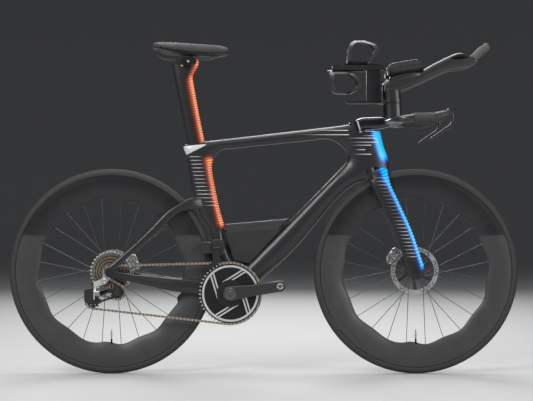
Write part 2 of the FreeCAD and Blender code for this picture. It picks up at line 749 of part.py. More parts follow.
half_front_size = cell("front_axle_span") * 0.5
half_rear_size = cell("rear_axle_span") * 0.5
axle_bore = cell("axle_radius") + cell("running_gap")
wheel(
    "front",
    cell("wheelbase") * 0.5,
    FRONT[0],
    [
        (axle_bore, -half_front_size + 0.3),
        (10, -half_front_size + 0.3),
        (10, -33),
        (14, -30),
        (25, -27.5),
        (25, -22.5),
        (14, -20),
        (12, 0),
        (14, 16),
        (25, 18.5),
        (25, 23.5),
        (17, 27),
        (17, 40.9),
        (10, 41.2),
        (10, half_front_size - 0.3),
        (axle_bore, half_front_size - 0.3),
    ],
    (21, -25),
    21.5,
    40,
    value("front_rotor_radius"),
)
wheel(
    "rear",
    cell("wheelbase") * -0.5,
    REAR[0],
    [
        (axle_bore, -half_rear_size + 0.3),
        (8.5, -half_rear_size + 0.3),
        (8.5, -24),
        (14, -23.5),
        (25, -21.5),
        (25, -16.5),
        (14, -13),
        (13, 8),
        (15, 26),
        (25, 29.5),
        (25, 34.5),
        (17, 38),
        (17, 57.9),
        (10, 58.2),
        (10, half_rear_size - 0.3),
        (axle_bore, half_rear_size - 0.3),
    ],
    (32, -19),
    21.5,
    57,
    value("rear_rotor_radius"),
)

# Through axles with a round head on the drive side.
keep(
    turned(
        "front_axle",
        [
            (0, half_front_size * -1 - 17),
            (8.5, half_front_size * -1 - 17),
            (8.5, half_front_size * -1 - 14.2),
            (cell("axle_radius"), half_front_size * -1 - 14.2),
            (cell("axle_radius"), half_front_size + 12),
            (0, half_front_size + 12),
        ],
        cell("wheelbase") * 0.5,
        0,
        cell("tyre_radius"),
    ),
    "front_axle",
)
keep(
    turned(
        "rear_axle",
        [
            (0, half_rear_size * -1 - 13.5),
            (9, half_rear_size * -1 - 13.5),
            (9, half_rear_size * -1 - 10.5),
            (cell("axle_radius"), half_rear_size * -1 - 10.5),
            (cell("axle_radius"), half_rear_size + 9),
            (0, half_rear_size + 9),
        ],
        cell("wheelbase") * -0.5,
        0,
        cell("tyre_radius"),
    ),
    "rear_axle",
)

# Drive train. The chain runs over the outer ring, the smallest sprocket and two pulleys;
# the cage angle is solved so that a whole even number of pitches closes the loop.
PITCH = value("chain_pitch")
ROLLER = value("roller_radius")


def pitch_radius(teeth):
    return PITCH / (2 * math.sin(math.pi / teeth))


COGS = (10, 11, 12, 13, 14, 15, 17, 19, 21, 24, 28, 33)
GUIDE = (REAR[0] + 26, REAR[1] - 65)


def tangent_loop(wheels):
    """Runs and arcs of a belt round wheels given as (x, z, radius, sense, y)."""
    runs = []
    total = len(wheels)
    for k in range(total):
        (x1, z1, r1, s1, _), (x2, z2, r2, s2, _) = wheels[k], wheels[(k + 1) % total]
        dx, dz = x2 - x1, z2 - z1
        run = math.hypot(dx, dz)
        heading = math.atan2(dz, dx)
        lean = math.asin((s1 * r1 - s2 * r2) / run)
        normal = heading - lean + math.pi / 2
        a = (x1 + s1 * r1 * math.cos(normal), z1 + s1 * r1 * math.sin(normal))
        b = (x2 + s2 * r2 * math.cos(normal), z2 + s2 * r2 * math.sin(normal))
        runs.append((a, b))
    path = []
    for k in range(total):
        x, z, radius, sense, y = wheels[k]
        enter, leave = runs[k - 1][1], runs[k][0]
        a0 = math.atan2(enter[1] - z, enter[0] - x)
        a1 = math.atan2(leave[1] - z, leave[0] - x)
        turn = (sense * (a0 - a1)) % (2 * math.pi)
        path.append(("arc", radius * turn, (x, z, radius, sense, a0, y, k)))
        a, b = runs[k]
        path.append(("run", math.dist(a, b), (a, b, y, wheels[(k + 1) % total][4])))
    return path


def spot_on(path, along):
    """Point of the loop at a length along it, and the wheel it lies on."""
    for kind, length, data in path:
        if along <= length:
            break
        along -= length
    part = along / length
    if kind == "arc":
        x, z, radius, sense, a0, y, k = data
        angle = a0 - sense * along / radius
        return V(x + radius * math.cos(angle), -y, z + radius * math.sin(angle)), k, angle
    a, b, y0, y1 = data
    ease = part * part * (3 - 2 * part)
    return V(a[0] + (b[0] - a[0]) * part, -(y0 + (y1 - y0) * ease), a[1] + (b[1] - a[1]) * part), None, None


def walk(path, links):
    """Pins one pitch apart along the loop; also how far the last step misses the start."""
    total = sum(length for _, length, _ in path)
    along, pins = 0.0, [(spot_on(path, 0.0))]
    for _ in range(links):
        low, high = along + PITCH * 0.98, along + PITCH * 1.06
        for _ in range(40):
            mid = (low + high) / 2
            if (spot_on(path, mid % total)[0] - pins[-1][0]).Length < PITCH:
                low = mid
            else:
                high = mid
        along = (low + high) / 2
        pins.append(spot_on(path, along % total))
    return pins[:-1], along - total


def drive_loop(cage_angle):
    tension = (
        GUIDE[0] + value("cage_run") * math.cos(cage_angle),
        GUIDE[1] + value("cage_run") * math.sin(cage_angle),
    )
    teeth = (count("outer_ring_teeth"), COGS[0], count("pulley_teeth"))
    ring, cog, pulley = (pitch_radius(n) for n in teeth)
    return tangent_loop(
        [
            (BB[0], BB[1], ring, 1, value("ring_plane")),
            (tension[0], tension[1], pulley, 1, value("cog_plane")),
            (GUIDE[0], GUIDE[1], pulley, -1, value("cog_plane")),
            (REAR[0], REAR[1], cog, 1, value("cog_plane")),
        ]
    )


def closing_miss(angle, links):
    return walk(drive_loop(angle), links)[1]


def closing_angle(guess):
    """Cage angle nearest the guess at which an even number of links closes the loop."""
    step = math.radians(2)
    length = sum(run for _, run, _ in drive_loop(guess))
    links = 2 * int(round(length / PITCH / 2))
    for k in range(1, 40):
        for way in (step, -step):
            near, far = guess + way * (k - 1), guess + way * k
            first, last = closing_miss(near, links), closing_miss(far, links)
            if (first > 0) == (last > 0):
                continue
            for _ in range(40):
                middle = (near + far) / 2
                if (closing_miss(middle, links) > 0) == (first > 0):
                    near = middle
                else:
                    far = middle
            return (near + far) / 2, links
    raise RuntimeError("the chain does not close")


CAGE_ANGLE, links = closing_angle(math.radians(196))
TENSION = (
    GUIDE[0] + value("cage_run") * math.cos(CAGE_ANGLE),
    GUIDE[1] + value("cage_run") * math.sin(CAGE_ANGLE),
)
pins, _ = walk(drive_loop(CAGE_ANGLE), links)
phases = {}
for _, k, angle in pins:
    if k is not None and k not in phases:
        phases[k] = angle


def toothed(centre, teeth, phase, y, thickness):
    """Toothed disc: a round seat for each roller, straight flanks and narrow tips."""
    radius = pitch_radius(teeth)
    tip = 0.28 * PITCH + radius * math.cos(math.pi / teeth)
    seat = ROLLER + 0.2
    low = y - thickness / 2
    half = math.pi / teeth
    tip_half = 0.9 / tip
    edges = []

    def spot(r, a):
        return V(centre[0] + r * math.cos(a), low, centre[1] + r * math.sin(a))

    def seat_spot(a, swing):
        middle = spot(radius, a)
        return middle + V(math.cos(a + math.pi + swing), 0, math.sin(a + math.pi + swing)) * seat

    swing = math.radians(58)
    for k in range(teeth):
        a = phase + 2 * half * k
        start, end = seat_spot(a, swing), seat_spot(a, -swing)
        edges.append(Part.Arc(start, seat_spot(a, 0), end).toShape())
        up, down = spot(tip, a + half - tip_half), spot(tip, a + half + tip_half)
        following = seat_spot(a + 2 * half, swing)
        edges += [Part.makeLine(end, up), Part.makeLine(up, down), Part.makeLine(down, following)]
    return Part.Face(Part.Wire(edges)).extrude(V(0, thickness, 0))


# Chain links: inner links with rollers, outer links with pins, in turn.
def link_plate(y_from, y_to):
    """Waisted plate round two pins one pitch apart."""
    height, waist = 4.15, 3.1
    half = PITCH / 2
    low = min(y_from, y_to)

    def spot(x, z):
        return V(x, low, z)

    c, s = math.cos(math.radians(50)), math.sin(math.radians(50))
    edges = [
        Part.Arc(
            spot(height * c, height * s), spot(half, waist), spot(PITCH - height * c, height * s)
        ).toShape(),
        Part.Arc(
            spot(PITCH - height * c, height * s),
            spot(PITCH + height, 0),
            spot(PITCH - height * c, -height * s),
        ).toShape(),
        Part.Arc(
            spot(PITCH - height * c, -height * s), spot(half, -waist), spot(height * c, -height * s)
        ).toShape(),
        Part.Arc(spot(height * c, -height * s), spot(-height, 0), spot(height * c, height * s)).toShape(),
    ]
    return Part.Face(Part.Wire(edges)).extrude(V(0, abs(y_to - y_from), 0))


PIN = 1.7
inner_link = link_plate(1.2, 1.75).multiFuse(
    [link_plate(-1.75, -1.2), bar_y(0, 0, ROLLER, -1.3, 1.3), bar_y(PITCH, 0, ROLLER, -1.3, 1.3)]
)
inner_link = inner_link.cut([bar_y(x, 0, PIN + 0.25, -3, 3) for x in (0, PITCH)])
outer_link = link_plate(1.85, 2.3).multiFuse(
    [link_plate(-2.3, -1.85), bar_y(0, 0, PIN, -2.4, 2.4), bar_y(PITCH, 0, PIN, -2.4, 2.4)]
)
chain_links = []
for k in range(links):
    here, ahead = pins[k][0], pins[(k + 1) % links][0]
    along = (ahead - here).normalize()
    upward = along.cross(V(0, 1, 0)).normalize()
    across = upward.cross(along)
    frame_matrix = FreeCAD.Matrix(
        along.x, across.x, upward.x, here.x,
        along.y, across.y, upward.y, here.y,
        along.z, across.z, upward.z, here.z,
        0, 0, 0, 1,
    )
    link = (inner_link if k % 2 == 0 else outer_link).copy()
    link.Placement = FreeCAD.Placement(frame_matrix)
    chain_links.append(link)
part_feature("chain", Part.makeCompound(chain_links))

# Chainrings. The outer ring hangs on four twin bars laid off-centre round a hub ring.
ring_y = -value("ring_plane")
ring_root = pitch_radius(count("outer_ring_teeth")) - ROLLER - 4
outer_ring = toothed(BB, count("outer_ring_teeth"), phases[0], ring_y, 1.9)
outer_ring = outer_ring.cut(bar_y(BB[0], BB[1], ring_root - 6, -80, 0))
rim_band = bar_y(BB[0], BB[1], ring_root, ring_y - 2.2, ring_y + 0.95)
rim_band = rim_band.cut(bar_y(BB[0], BB[1], ring_root - 7, -80, 0))
hub_band = bar_y(BB[0], BB[1], 45, ring_y - 2.2, ring_y + 0.95)
bars = []
for bearing in (107, 212, 287, 32):
    turn = math.radians(bearing)
    along = (math.cos(turn), math.sin(turn))
    side = (-along[1], along[0])
    for offset in (34.5, 44.5):
        reach = math.sqrt((ring_root - 3) ** 2 - offset ** 2)
        a = (BB[0] + side[0] * offset, BB[1] + side[1] * offset)
        b = (a[0] + along[0] * reach, a[1] + along[1] * reach)
        bars.append(belt_plate(a, b, 2.6, 2.5, ring_y - 2.2, ring_y + 0.95))
outer_ring = outer_ring.multiFuse([rim_band, hub_band] + bars)
outer_ring = outer_ring.cut(bar_y(BB[0], BB[1], 27, -80, 0)).removeSplitter()
part_feature("chainring_outer", outer_ring)

inner_y = ring_y + 7.2
inner_root = pitch_radius(count("inner_ring_teeth")) - ROLLER - 4
inner_ring = toothed(BB, count("inner_ring_teeth"), 0.0, inner_y, 1.9)
inner_hub = bar_y(BB[0], BB[1], 43, inner_y - 6.2, inner_y + 0.95)
windows = []
for k in range(8):
    turn = 2 * math.pi * k / 8 + 0.2
    a = (BB[0] + 55 * math.cos(turn - 0.13), BB[1] + 55 * math.sin(turn - 0.13))
    b = (BB[0] + 55 * math.cos(turn + 0.13), BB[1] + 55 * math.sin(turn + 0.13))
    windows.append(belt_plate(a, b, 6, 5.9, -80, 0))
inner_ring = inner_ring.fuse(inner_hub).cut(windows + [bar_y(BB[0], BB[1], 27, -80, 0)])
part_feature("chainring_inner", inner_ring.removeSplitter())

# Crank arms with pedal threads, on a spindle that carries the mounting disc of the chainrings.
tilt = math.radians(value("crank_tilt"))
inner_face = value("crank_inner")
outer_face = inner_face + value("crank_thickness")


def crank_arm(hand, angle):
    end = (BB[0] + value("crank_run") * math.cos(angle), BB[1] + value("crank_run") * math.sin(angle))
    waist = mix(BB, end, 0.42)
    low, high = sorted((hand * inner_face, hand * outer_face))
    arm = belt_plate(BB, waist, 25, 18.5, low, high)
    arm = arm.fuse(belt_plate(waist, end, 18.5, 18, low, high)).removeSplitter()
    rim = [edge for edge in arm.Edges if abs(abs(edge.CenterOfMass.y) - outer_face) < 0.1]
    arm = arm.makeFillet(4.5, rim)
    return arm, end


right_arm, right_eye = crank_arm(-1, tilt)
left_arm, left_eye = crank_arm(1, tilt + math.pi)
disc = bar_y(BB[0], BB[1], 44, ring_y - 2.2, -inner_face)
spindle = bar_y(BB[0], BB[1], value("spindle_radius"), -inner_face - 2, outer_face - 2)
right_arm = right_arm.cut(
    [
        bar_y(right_eye[0], right_eye[1], value("pedal_hole_radius"), -100, 0),
        bar_y(BB[0], BB[1], value("spindle_radius") + 0.02, -inner_face - 2, 0),
    ]
)
left_arm = left_arm.fuse(bar_y(BB[0], BB[1], 20, 45.5, inner_face + 1))
left_arm = left_arm.cut(
    [
        bar_y(left_eye[0], left_eye[1], value("pedal_hole_radius"), 0, 100),
        bar_y(BB[0], BB[1], value("spindle_radius") + 0.02, 0, outer_face - 2),
    ]
)
part_feature("crank_spindle", spindle.fuse(disc).removeSplitter())
part_feature("crank_arm_right", right_arm)
part_feature("crank_arm_left", left_arm)

# Bottom bracket cups, one each side of the shell.
cups = []
for hand in (-1, 1):
    cup = bar_y(BB[0], BB[1], 23.5, hand * half_shell, hand * (half_shell + 8))
    cup = cup.fuse(bar_y(BB[0], BB[1], 17.95, hand * (half_shell - 22), hand * (half_shell + 8)))
    cups.append(cup.cut(bar_y(BB[0], BB[1], value("spindle_radius") + gap, -100, 100)).removeSplitter())
part_feature("bottom_bracket_cups", Part.makeCompound(cups))

# Cassette on a stepped freehub body.
freehub_step = value("cog_plane") - 2.5 * value("cog_step")
keep(
    turned(
        "freehub_body",
        [
            (8.5 + value("running_gap"), -24.5),
            (17, -24.5),
            (17, -freehub_step),
            (12, -freehub_step),
            (12, -(value("cog_plane") + 2.6)),
            (8.5 + value("running_gap"), -(value("cog_plane") + 2.6)),
        ],
        cell("wheelbase") * -0.5,
        0,
        cell("tyre_radius"),
    ),
    "freehub_body",
)
cogs = []
for k, teeth in enumerate(COGS):
    y = -value("cog_plane") + value("cog_step") * k
    cog = toothed(REAR, teeth, phases[3] if k == 0 else 0.15 * k, y, 1.6)
    bore = 12.05 if k < 3 else 17.05
    half_step = value("cog_step") / 2 - 0.02
    hub = bar_y(REAR[0], REAR[1], bore + 2.2, y - half_step, y + half_step)
    cog = cog.fuse(hub).cut(bar_y(REAR[0], REAR[1], bore, -100, 0))
    if teeth > 18:
        root = pitch_radius(teeth) - ROLLER - 5
        middle = (root + bore + 5) / 2
        size = (root - bore - 5) / 2
        cog = cog.cut(
            [
                bar_y(
                    REAR[0] + middle * math.cos(2 * math.pi * n / 6 + 0.1 * k),
                    REAR[1] + middle * math.sin(2 * math.pi * n / 6 + 0.1 * k),
                    min(size, middle * 0.4),
                    -100,
                    0,
                )
                for n in range(6)
            ]
        )
    cogs.append(cog.removeSplitter())
part_feature("cassette", Part.makeCompound(cogs))

# Rear derailleur: hanger, fixed knuckle with battery, two links, moving knuckle, cage, pulleys.
cog_y = -value("cog_plane")
HANGER = (REAR[0] - 16, REAR[1] - 28)
hanger = belt_plate(REAR, HANGER, 15, 11, -half_rear - 4, -half_rear)
hanger = hanger.fuse(bar_y(HANGER[0], HANGER[1], 10, -half_rear - 9, -half_rear))
hanger = hanger.cut(bar_y(REAR[0], REAR[1], value("axle_radius") + 0.05, -100, 0))
part_feature("derailleur_hanger", hanger.cut(frame_node.Shape))

SLANT = math.radians(38)
INBOARD = V(0, math.cos(SLANT), -math.sin(SLANT))
LINK_AXIS = V(0, math.sin(SLANT), math.cos(SLANT))
LINK_RUN = 44.0
REST = math.radians(25)
LINK_REST = V(math.cos(REST), 0, 0) - INBOARD * math.sin(REST)
MOVING = V(GUIDE[0] - 21, -104, GUIDE[1] + 14)
FIXED = MOVING - LINK_REST * LINK_RUN
LINK_APART = 6.5


def derailleur_box(origin, x, inboard, up):
    """Block with sides along X, the inboard slant and the link axis."""
    box = Part.makeBox(x[1] - x[0], inboard[1] - inboard[0], up[1] - up[0], V(x[0], inboard[0], up[0]))
    box.Placement = FreeCAD.Placement(
        FreeCAD.Matrix(
            1, 0, 0, origin.x,
            0, INBOARD.y, LINK_AXIS.y, origin.y,
            0, INBOARD.z, LINK_AXIS.z, origin.z,
            0, 0, 0, 1,
        )
    )
    return box


def link_pin(origin, shift, radius, half):
    start = origin + INBOARD * shift - LINK_AXIS * half
    return Part.makeCylinder(radius, 2 * half, start, LINK_AXIS)


def knuckle_fork(origin, back):
    """Two lugs, a web and two pins that hold the links."""
    low, high = sorted((-5 * back, 13 * back))
    web_low, web_high = sorted((7 * back, 13 * back))
    sides = ((6.3, 9.7), (-9.7, -6.3))
    lugs = [derailleur_box(origin, (low, high), (-12, 12), side) for side in sides]
    web = derailleur_box(origin, (web_low, web_high), (-12, 12), (-9.7, 9.7))
    return lugs[0].multiFuse([lugs[1], web] + [link_pin(origin, s * LINK_APART, 2, 9) for s in (1, -1)])


fixed_fork = knuckle_fork(FIXED, -1)
fixed_boss = bar_y(HANGER[0], HANGER[1], 11.5, -half_rear - 9, -half_rear - 27)
elbow = (FIXED.x - 13, FIXED.z + 23)
fixed_arms = [
    belt_plate(HANGER, elbow, 10, 8, -half_rear - 12, -half_rear - 25),
    belt_plate(elbow, (FIXED.x - 8, FIXED.z + 4), 7.5, 2.5, -half_rear - 12, -half_rear - 25),
]
knuckle = fixed_fork.multiFuse([fixed_boss] + fixed_arms).removeSplitter()
battery = side_plate(
    [
        (FIXED.x - 16, FIXED.z + 13),
        (FIXED.x - 40, FIXED.z + 9),
        (FIXED.x - 45, FIXED.z + 3),
        (FIXED.x - 45, FIXED.z - 29),
        (FIXED.x - 39, FIXED.z - 37),
        (FIXED.x - 16, FIXED.z - 33),
    ],
    FIXED.y + 9,
    FIXED.y - 12,
)
battery = battery.makeFillet(2.5, battery.Edges)
battery_seat = side_plate(
    [
        (FIXED.x - 11, FIXED.z + 14),
        (FIXED.x - 16, FIXED.z + 14),
        (FIXED.x - 16, FIXED.z - 34),
        (FIXED.x - 11, FIXED.z - 30),
    ],
    FIXED.y + 8,
    FIXED.y - 11,
)
knuckle = knuckle.fuse(battery_seat).removeSplitter()
part_feature("derailleur_knuckle", Part.makeCompound([knuckle, battery]))

for label, shift in (("derailleur_link_outer", -LINK_APART), ("derailleur_link_inner", LINK_APART)):
    start = FIXED + INBOARD * shift
    bar = Part.makeBox(LINK_RUN, 4.6, 12, V(0, -2.3, -6))
    ends = [Part.makeCylinder(4.2, 12, V(x, 0, -6), V(0, 0, 1)) for x in (0, LINK_RUN)]
    holes = [Part.makeCylinder(2.1, 20, V(x, 0, -10), V(0, 0, 1)) for x in (0, LINK_RUN)]
    link = bar.multiFuse(ends).cut(holes).removeSplitter()
    side = LINK_AXIS.cross(LINK_REST)
    link.Placement = FreeCAD.Placement(
        FreeCAD.Matrix(
            LINK_REST.x, side.x, LINK_AXIS.x, start.x,
            LINK_REST.y, side.y, LINK_AXIS.y, start.y,
            LINK_REST.z, side.z, LINK_AXIS.z, start.z,
            0, 0, 0, 1,
        )
    )
    part_feature(label, link)

moving_fork = knuckle_fork(MOVING, 1)
cage_face = cog_y - 7.2
moving_boss = bar_y(GUIDE[0], GUIDE[1], 13, cage_face, MOVING.y + 2)
moving_arm = belt_plate(GUIDE, (MOVING.x + 16, MOVING.z), 11, 8, cage_face - 8, MOVING.y - 4)
moving = moving_fork.multiFuse([moving_boss, moving_arm])
part_feature("derailleur_moving_knuckle", moving.removeSplitter())

cage_plates = []
for y_from, y_to in ((cage_face, cage_face + 1.8), (cog_y + 5.4, cog_y + 7.2)):
    plate = belt_plate(GUIDE, TENSION, 15, 13, y_from, y_to)
    hole = belt_plate(mix(GUIDE, TENSION, 0.32), mix(GUIDE, TENSION, 0.68), 8, 7, y_from - 1, y_to + 1)
    cage_plates.append(plate.cut(hole))
bolts = [bar_y(x, z, 2.4, cage_face + 0.4, cog_y + 6.6) for x, z in (GUIDE, TENSION)]
part_feature("derailleur_cage", cage_plates[0].multiFuse([cage_plates[1]] + bolts).removeSplitter())
for label, spot, wheel_index in (("guide_pulley", GUIDE, 2), ("tension_pulley", TENSION, 1)):
    disc = toothed(spot, count("pulley_teeth"), phases[wheel_index], cog_y, 1.9)
    hub = bar_y(spot[0], spot[1], 7, cog_y - 4.6, cog_y + 4.6)
    slots = [
        bar_y(spot[0] + 12.5 * math.cos(a), spot[1] + 12.5 * math.sin(a), 3.2, -100, 0)
        for a in [2 * math.pi * n / 6 for n in range(6)]
    ]
    disc = disc.fuse(hub).cut(slots + [bar_y(spot[0], spot[1], 2.4 + gap, -100, 0)])
    part_feature(label, disc.removeSplitter())

# Disc brake calipers, each with a foot on its frame member and a slot for the rotor.
def caliper(centre, axle, rotor_y, rotor_radius, y_span, foot, foot_span):
    """Two-sided block round the rotor edge with piston caps and two bolt heads."""
    dx, dz = centre[0] - axle[0], centre[1] - axle[1]
    reach = math.hypot(dx, dz)
    side = (-dz / reach * 13, dx / reach * 13)
    ends = [(centre[0] + s * side[0], centre[1] + s * side[1]) for s in (-1, 1)]
    block = belt_plate(ends[0], ends[1], 17, 16.5, y_span[0], y_span[1])
    block = block.makeFillet(3, [e for e in block.Edges if abs(e.CenterOfMass.y - y_span[0]) < 0.1])
    foot_plate = belt_plate(centre, foot, 13, 9, foot_span[0], foot_span[1])
    heads = [bar_y(x, z, 5, y_span[1] - 1, y_span[1] + 5) for x, z in ends]
    caps = [bar_y(centre[0], centre[1], 10, y_span[0] - 3, y_span[0] + 4)]
    slot = bar_y(axle[0], axle[1], rotor_radius + 2.5, rotor_y - 1.9, rotor_y + 1.9)
    return block.multiFuse([foot_plate] + heads + caps).cut(slot).removeSplitter()


part_feature(
    "front_caliper",
    caliper(
        (FRONT[0] - 71, FRONT[1] + 49),
        FRONT,
        40,
        value("front_rotor_radius"),
        (28, 51),
        (FRONT[0] - 37, FRONT[1] + 65),
        (44, 55),
    ).cut(fork_node.Shape),
)
part_feature(
    "rear_caliper",
    caliper(
        rear_spot(68, 27),
        REAR,
        57,
        value("rear_rotor_radius"),
        (45, 69),
        rear_spot(43, 11),
        (64, 75),
    ).cut(frame_node.Shape),
)


def tube(spots, radii):
    """Round tube skin along points of a smooth path, one radius per point."""
    sections = []
    total = len(spots)
    for k in range(total):
        run = (spots[min(k + 1, total - 1)] - spots[max(k - 1, 0)]).normalize()
        side = run.cross(V(0, 0.1, 1)).normalize()
        up = side.cross(run)
        sections.append(oval(spots[k], side * radii[k], up * radii[k]))
    return skin(sections)


# Seatpost with a forward-swept head, ribbed like the seat tube.
post_top = (value("saddle_height") - value("saddle_stack") - BB[1]) / math.sin(SEAT)
neck = post_top - 48
post_stations = [
    (POST_FOOT, POST_TRAIL, POST_LEAD),
    ((POST_FOOT + COLLAR) / 2, POST_TRAIL, POST_LEAD),
    (COLLAR + 2, POST_TRAIL, POST_LEAD),
    (COLLAR + 0.4 * (neck - COLLAR), POST_TRAIL, 17.6),
    (COLLAR + 0.85 * (neck - COLLAR), -38.5, 20),
    (neck, -38, 25),
    (post_top - 27, -38, 43),
    (post_top - 13, -37.5, 51),
    (post_top, -36, 49),
]


def post_lead(up):
    for (low, _, a), (high, _, b) in zip(post_stations, post_stations[1:]):
        if up <= high:
            return a + (b - a) * (up - low) / (high - low)
    return POST_LEAD


post = skin([aero(seat_xz(up, lead), seat_xz(up, trail), POST_HALF) for up, trail, lead in post_stations])
post = post.cut(scallops(seat_ribs(COLLAR + 8, post_top - 67, post_lead), rib_radius, value("rib_depth"), 40))
rail_y = value("rail_spread")
RAIL_Z = value("saddle_height") - 55
head_x = seat_xz(post_top, 0)[0]
stretch = value("saddle_length") / 254
rail_path = [
    (-84, rail_y + 3, 24),
    (-77, rail_y + 2, 10),
    (-60, rail_y + 0.5, 1.5),
    (-32, rail_y, 0),
    (13, rail_y, 0),
    (53, rail_y, 0),
    (83, rail_y - 2, 1),
    (108, rail_y - 7, 6),
    (122, rail_y - 10, 11),
    (130, rail_y - 12, 15),
]
rail_spots = [V(head_x + x * stretch, y, RAIL_Z + z) for x, y, z in rail_path]
rail = tube(rail_spots, [value("rail_radius")] * len(rail_path))
rails = Part.makeCompound([rail, mirrored(rail)])
clamp_ends = [(head_x + 6, RAIL_Z - 8), (head_x + 32, RAIL_Z - 8)]
clamp = belt_plate(clamp_ends[0], clamp_ends[1], 14.5, 14, -rail_y - 8, rail_y + 8)
clamp = clamp.makeFillet(2.5, [e for e in clamp.Edges if abs(abs(e.CenterOfMass.y) - rail_y - 8) < 0.1])
clamp = clamp.fuse(bar_y(head_x + 19, RAIL_Z - 9, 6.5, -rail_y - 11, rail_y + 11))
clamp = clamp.cut([post, rail, mirrored(rail)])
part_feature("seatpost", post)
part_feature("saddle_clamp", max(clamp.Solids, key=lambda s: s.Volume))
part_feature("saddle_rails", rails)

# Saddle: one form, parted into a stiff shell below and a pad above.
saddle_top = value("saddle_height")
half_saddle = value("saddle_width") / 2
saddle_stations = [
    (0, 0.4, -9, -18),
    (4, 0.68, -4, -22),
    (20, 0.93, -1, -29),
    (50, 1.0, -2, -39),
    (90, 0.87, -4, -44),
    (130, 0.62, -7, -47),
    (170, 0.465, -10.5, -49),
    (210, 0.39, -15, -49),
    (238, 0.33, -21, -46),
    (250, 0.22, -27, -41),
    (254, 0.1, -31, -36),
]
saddle_back = head_x - 102 * stretch
form_sections = []
for run, share, top, bottom in saddle_stations:
    centre = V(saddle_back + run * stretch, 0, saddle_top + (top + bottom) / 2)
    form_sections.append(oval(centre, V(0, half_saddle * share, 0), V(0, 0, (top - bottom) / 2), 2.4, 2.4))
saddle_form = skin(form_sections)
part_line = [
    (-10, -17),
    (20, -22),
    (50, -29),
    (90, -34),
    (130, -36),
    (170, -38),
    (210, -38),
    (240, -35),
    (265, -34),
    (265, -90),
    (-10, -90),
]
below = [(saddle_back + run * stretch, saddle_top + z) for run, z in part_line]
lower = side_plate(below, -120, 120)
part_feature("saddle_shell", saddle_form.common(lower).cut([rail, mirrored(rail)]))
part_feature("saddle_pad", saddle_form.cut(lower))

# Cockpit. The base bar is one skin from end to end.
bar_level = value("bar_level")
bar_x = FRONT[0] - value("bar_setback")
half_bar = value("bar_half_width")
bar_stations = [
    (0, 0, 0, 33, 11, 0),
    (0, half_bar * 0.3, 0, 32, 10, 0),
    (1, half_bar * 0.65, 3, 28, 9.5, 0),
    (6, half_bar - 30, 22, 21, 10.5, 1),
    (21, half_bar - 8, 55, 15.5, 12, 3),
    (44, half_bar, 88, 12.6, 12.6, 5.5),
    (52, half_bar, 90, 12.5, 12.5, 6),
    (85, half_bar, 90, 12.5, 12.5, 6),
    (120, half_bar, 90, 12.5, 12.5, 6),
]


def cockpit(ahead, up, across=0.0):
    """Place measured from the middle of the base bar."""
    return V(bar_x + ahead, across, bar_level + up)


def cockpit_xz(ahead, up):
    return (bar_x + ahead, bar_level + up)


def bar_section(station, hand):
    x, y, turn, chord, thick, rise = station
    turn = math.radians(turn)
    along = V(math.cos(turn), -hand * math.sin(turn), 0)
    return oval(cockpit(x, rise, hand * y), along * chord, V(0, 0, thick))


bar_sections = [bar_section(s, -1) for s in reversed(bar_stations)]
bar_sections += [bar_section(s, 1) for s in bar_stations[1:]]
base_bar = skin(bar_sections)
part_feature("base_bar", base_bar)

bar_spot = cockpit(0, 0) - STEER_FOOT
bar_ahead, bar_up = bar_spot.dot(STEER_AHEAD), bar_spot.dot(STEER_UP)
stem_stations = [
    (-0.117, -19.8, 12.2, 13),
    (0, -18.5, 19, 18.5),
    (0.208, -14.9, 26.1, 19),
    (0.417, -16.9, 25.1, 19),
    (0.625, -17.8, 23.2, 19.5),
    (0.833, -14.7, 18.3, 20),
    (0.967, -9.5, 12.5, 20),
]
wedge_sections = []
for part, low, high, half in stem_stations:
    middle = steer_spot(518 + (bar_up - 518) * part + (low + high) / 2, bar_ahead * part)
    wedge_sections.append(oval(middle, V(0, half, 0), STEER_UP * ((high - low) / 2), 3.0, 3.0))
wedge = skin(wedge_sections)
column = steer_ring([(0, 499), (21, 499), (21, 534), (18, 537), (0, 537)])
room_radius = value("steerer_radius") + 0.05
steerer_room = steer_ring([(0, 480), (room_radius, 480), (room_radius, 531.3), (0, 531.3)])
stem = column.fuse(wedge).cut([steerer_room, base_bar])
part_feature("stem", max(stem.Solids, key=lambda s: s.Volume))

pivot = cockpit_xz(162, 22)
grips = []
hoods = []
for hand in (-1, 1):
    y = hand * half_bar
    grip = tube(
        [cockpit(x, 6, y) for x in (52, 56, 70, 100, 113, 117)],
        [value("grip_radius") * part for part in (0.93, 1.0, 0.98, 1.0, 1.05, 1.05)],
    )
    grips.append(grip.cut(Part.makeCylinder(12.75, 90, cockpit(40, 6, y), V(1, 0, 0))))
    hood_stations = [
        (117.3, 7, 16, 17),
        (128, 9, 15.5, 16),
        (142, 13, 14, 15),
        (154, 17, 12.5, 12.5),
        (161, 20, 12, 9.5),
    ]
    hood = skin([
        oval(cockpit(x, z, y), V(0, w, 0), V(0, 0, h), 2.4, 2.4) for x, z, w, h in hood_stations
    ])
    hood = hood.fuse(bar_y(pivot[0], pivot[1], 8.5, y - 11.5, y + 11.5))
    hood = hood.cut(
        [
            Part.makeCylinder(12.75, 60, cockpit(61, 6, y), V(1, 0, 0)),
            bar_y(pivot[0], pivot[1], 17, y - 6.6, y + 6.6),
        ]
    )
    hoods.append(hood.fuse(bar_y(pivot[0], pivot[1], 2.5, y - 9, y + 9)).removeSplitter())
part_feature("bar_grips", Part.makeCompound(grips))
part_feature("brake_hoods", Part.makeCompound(hoods))

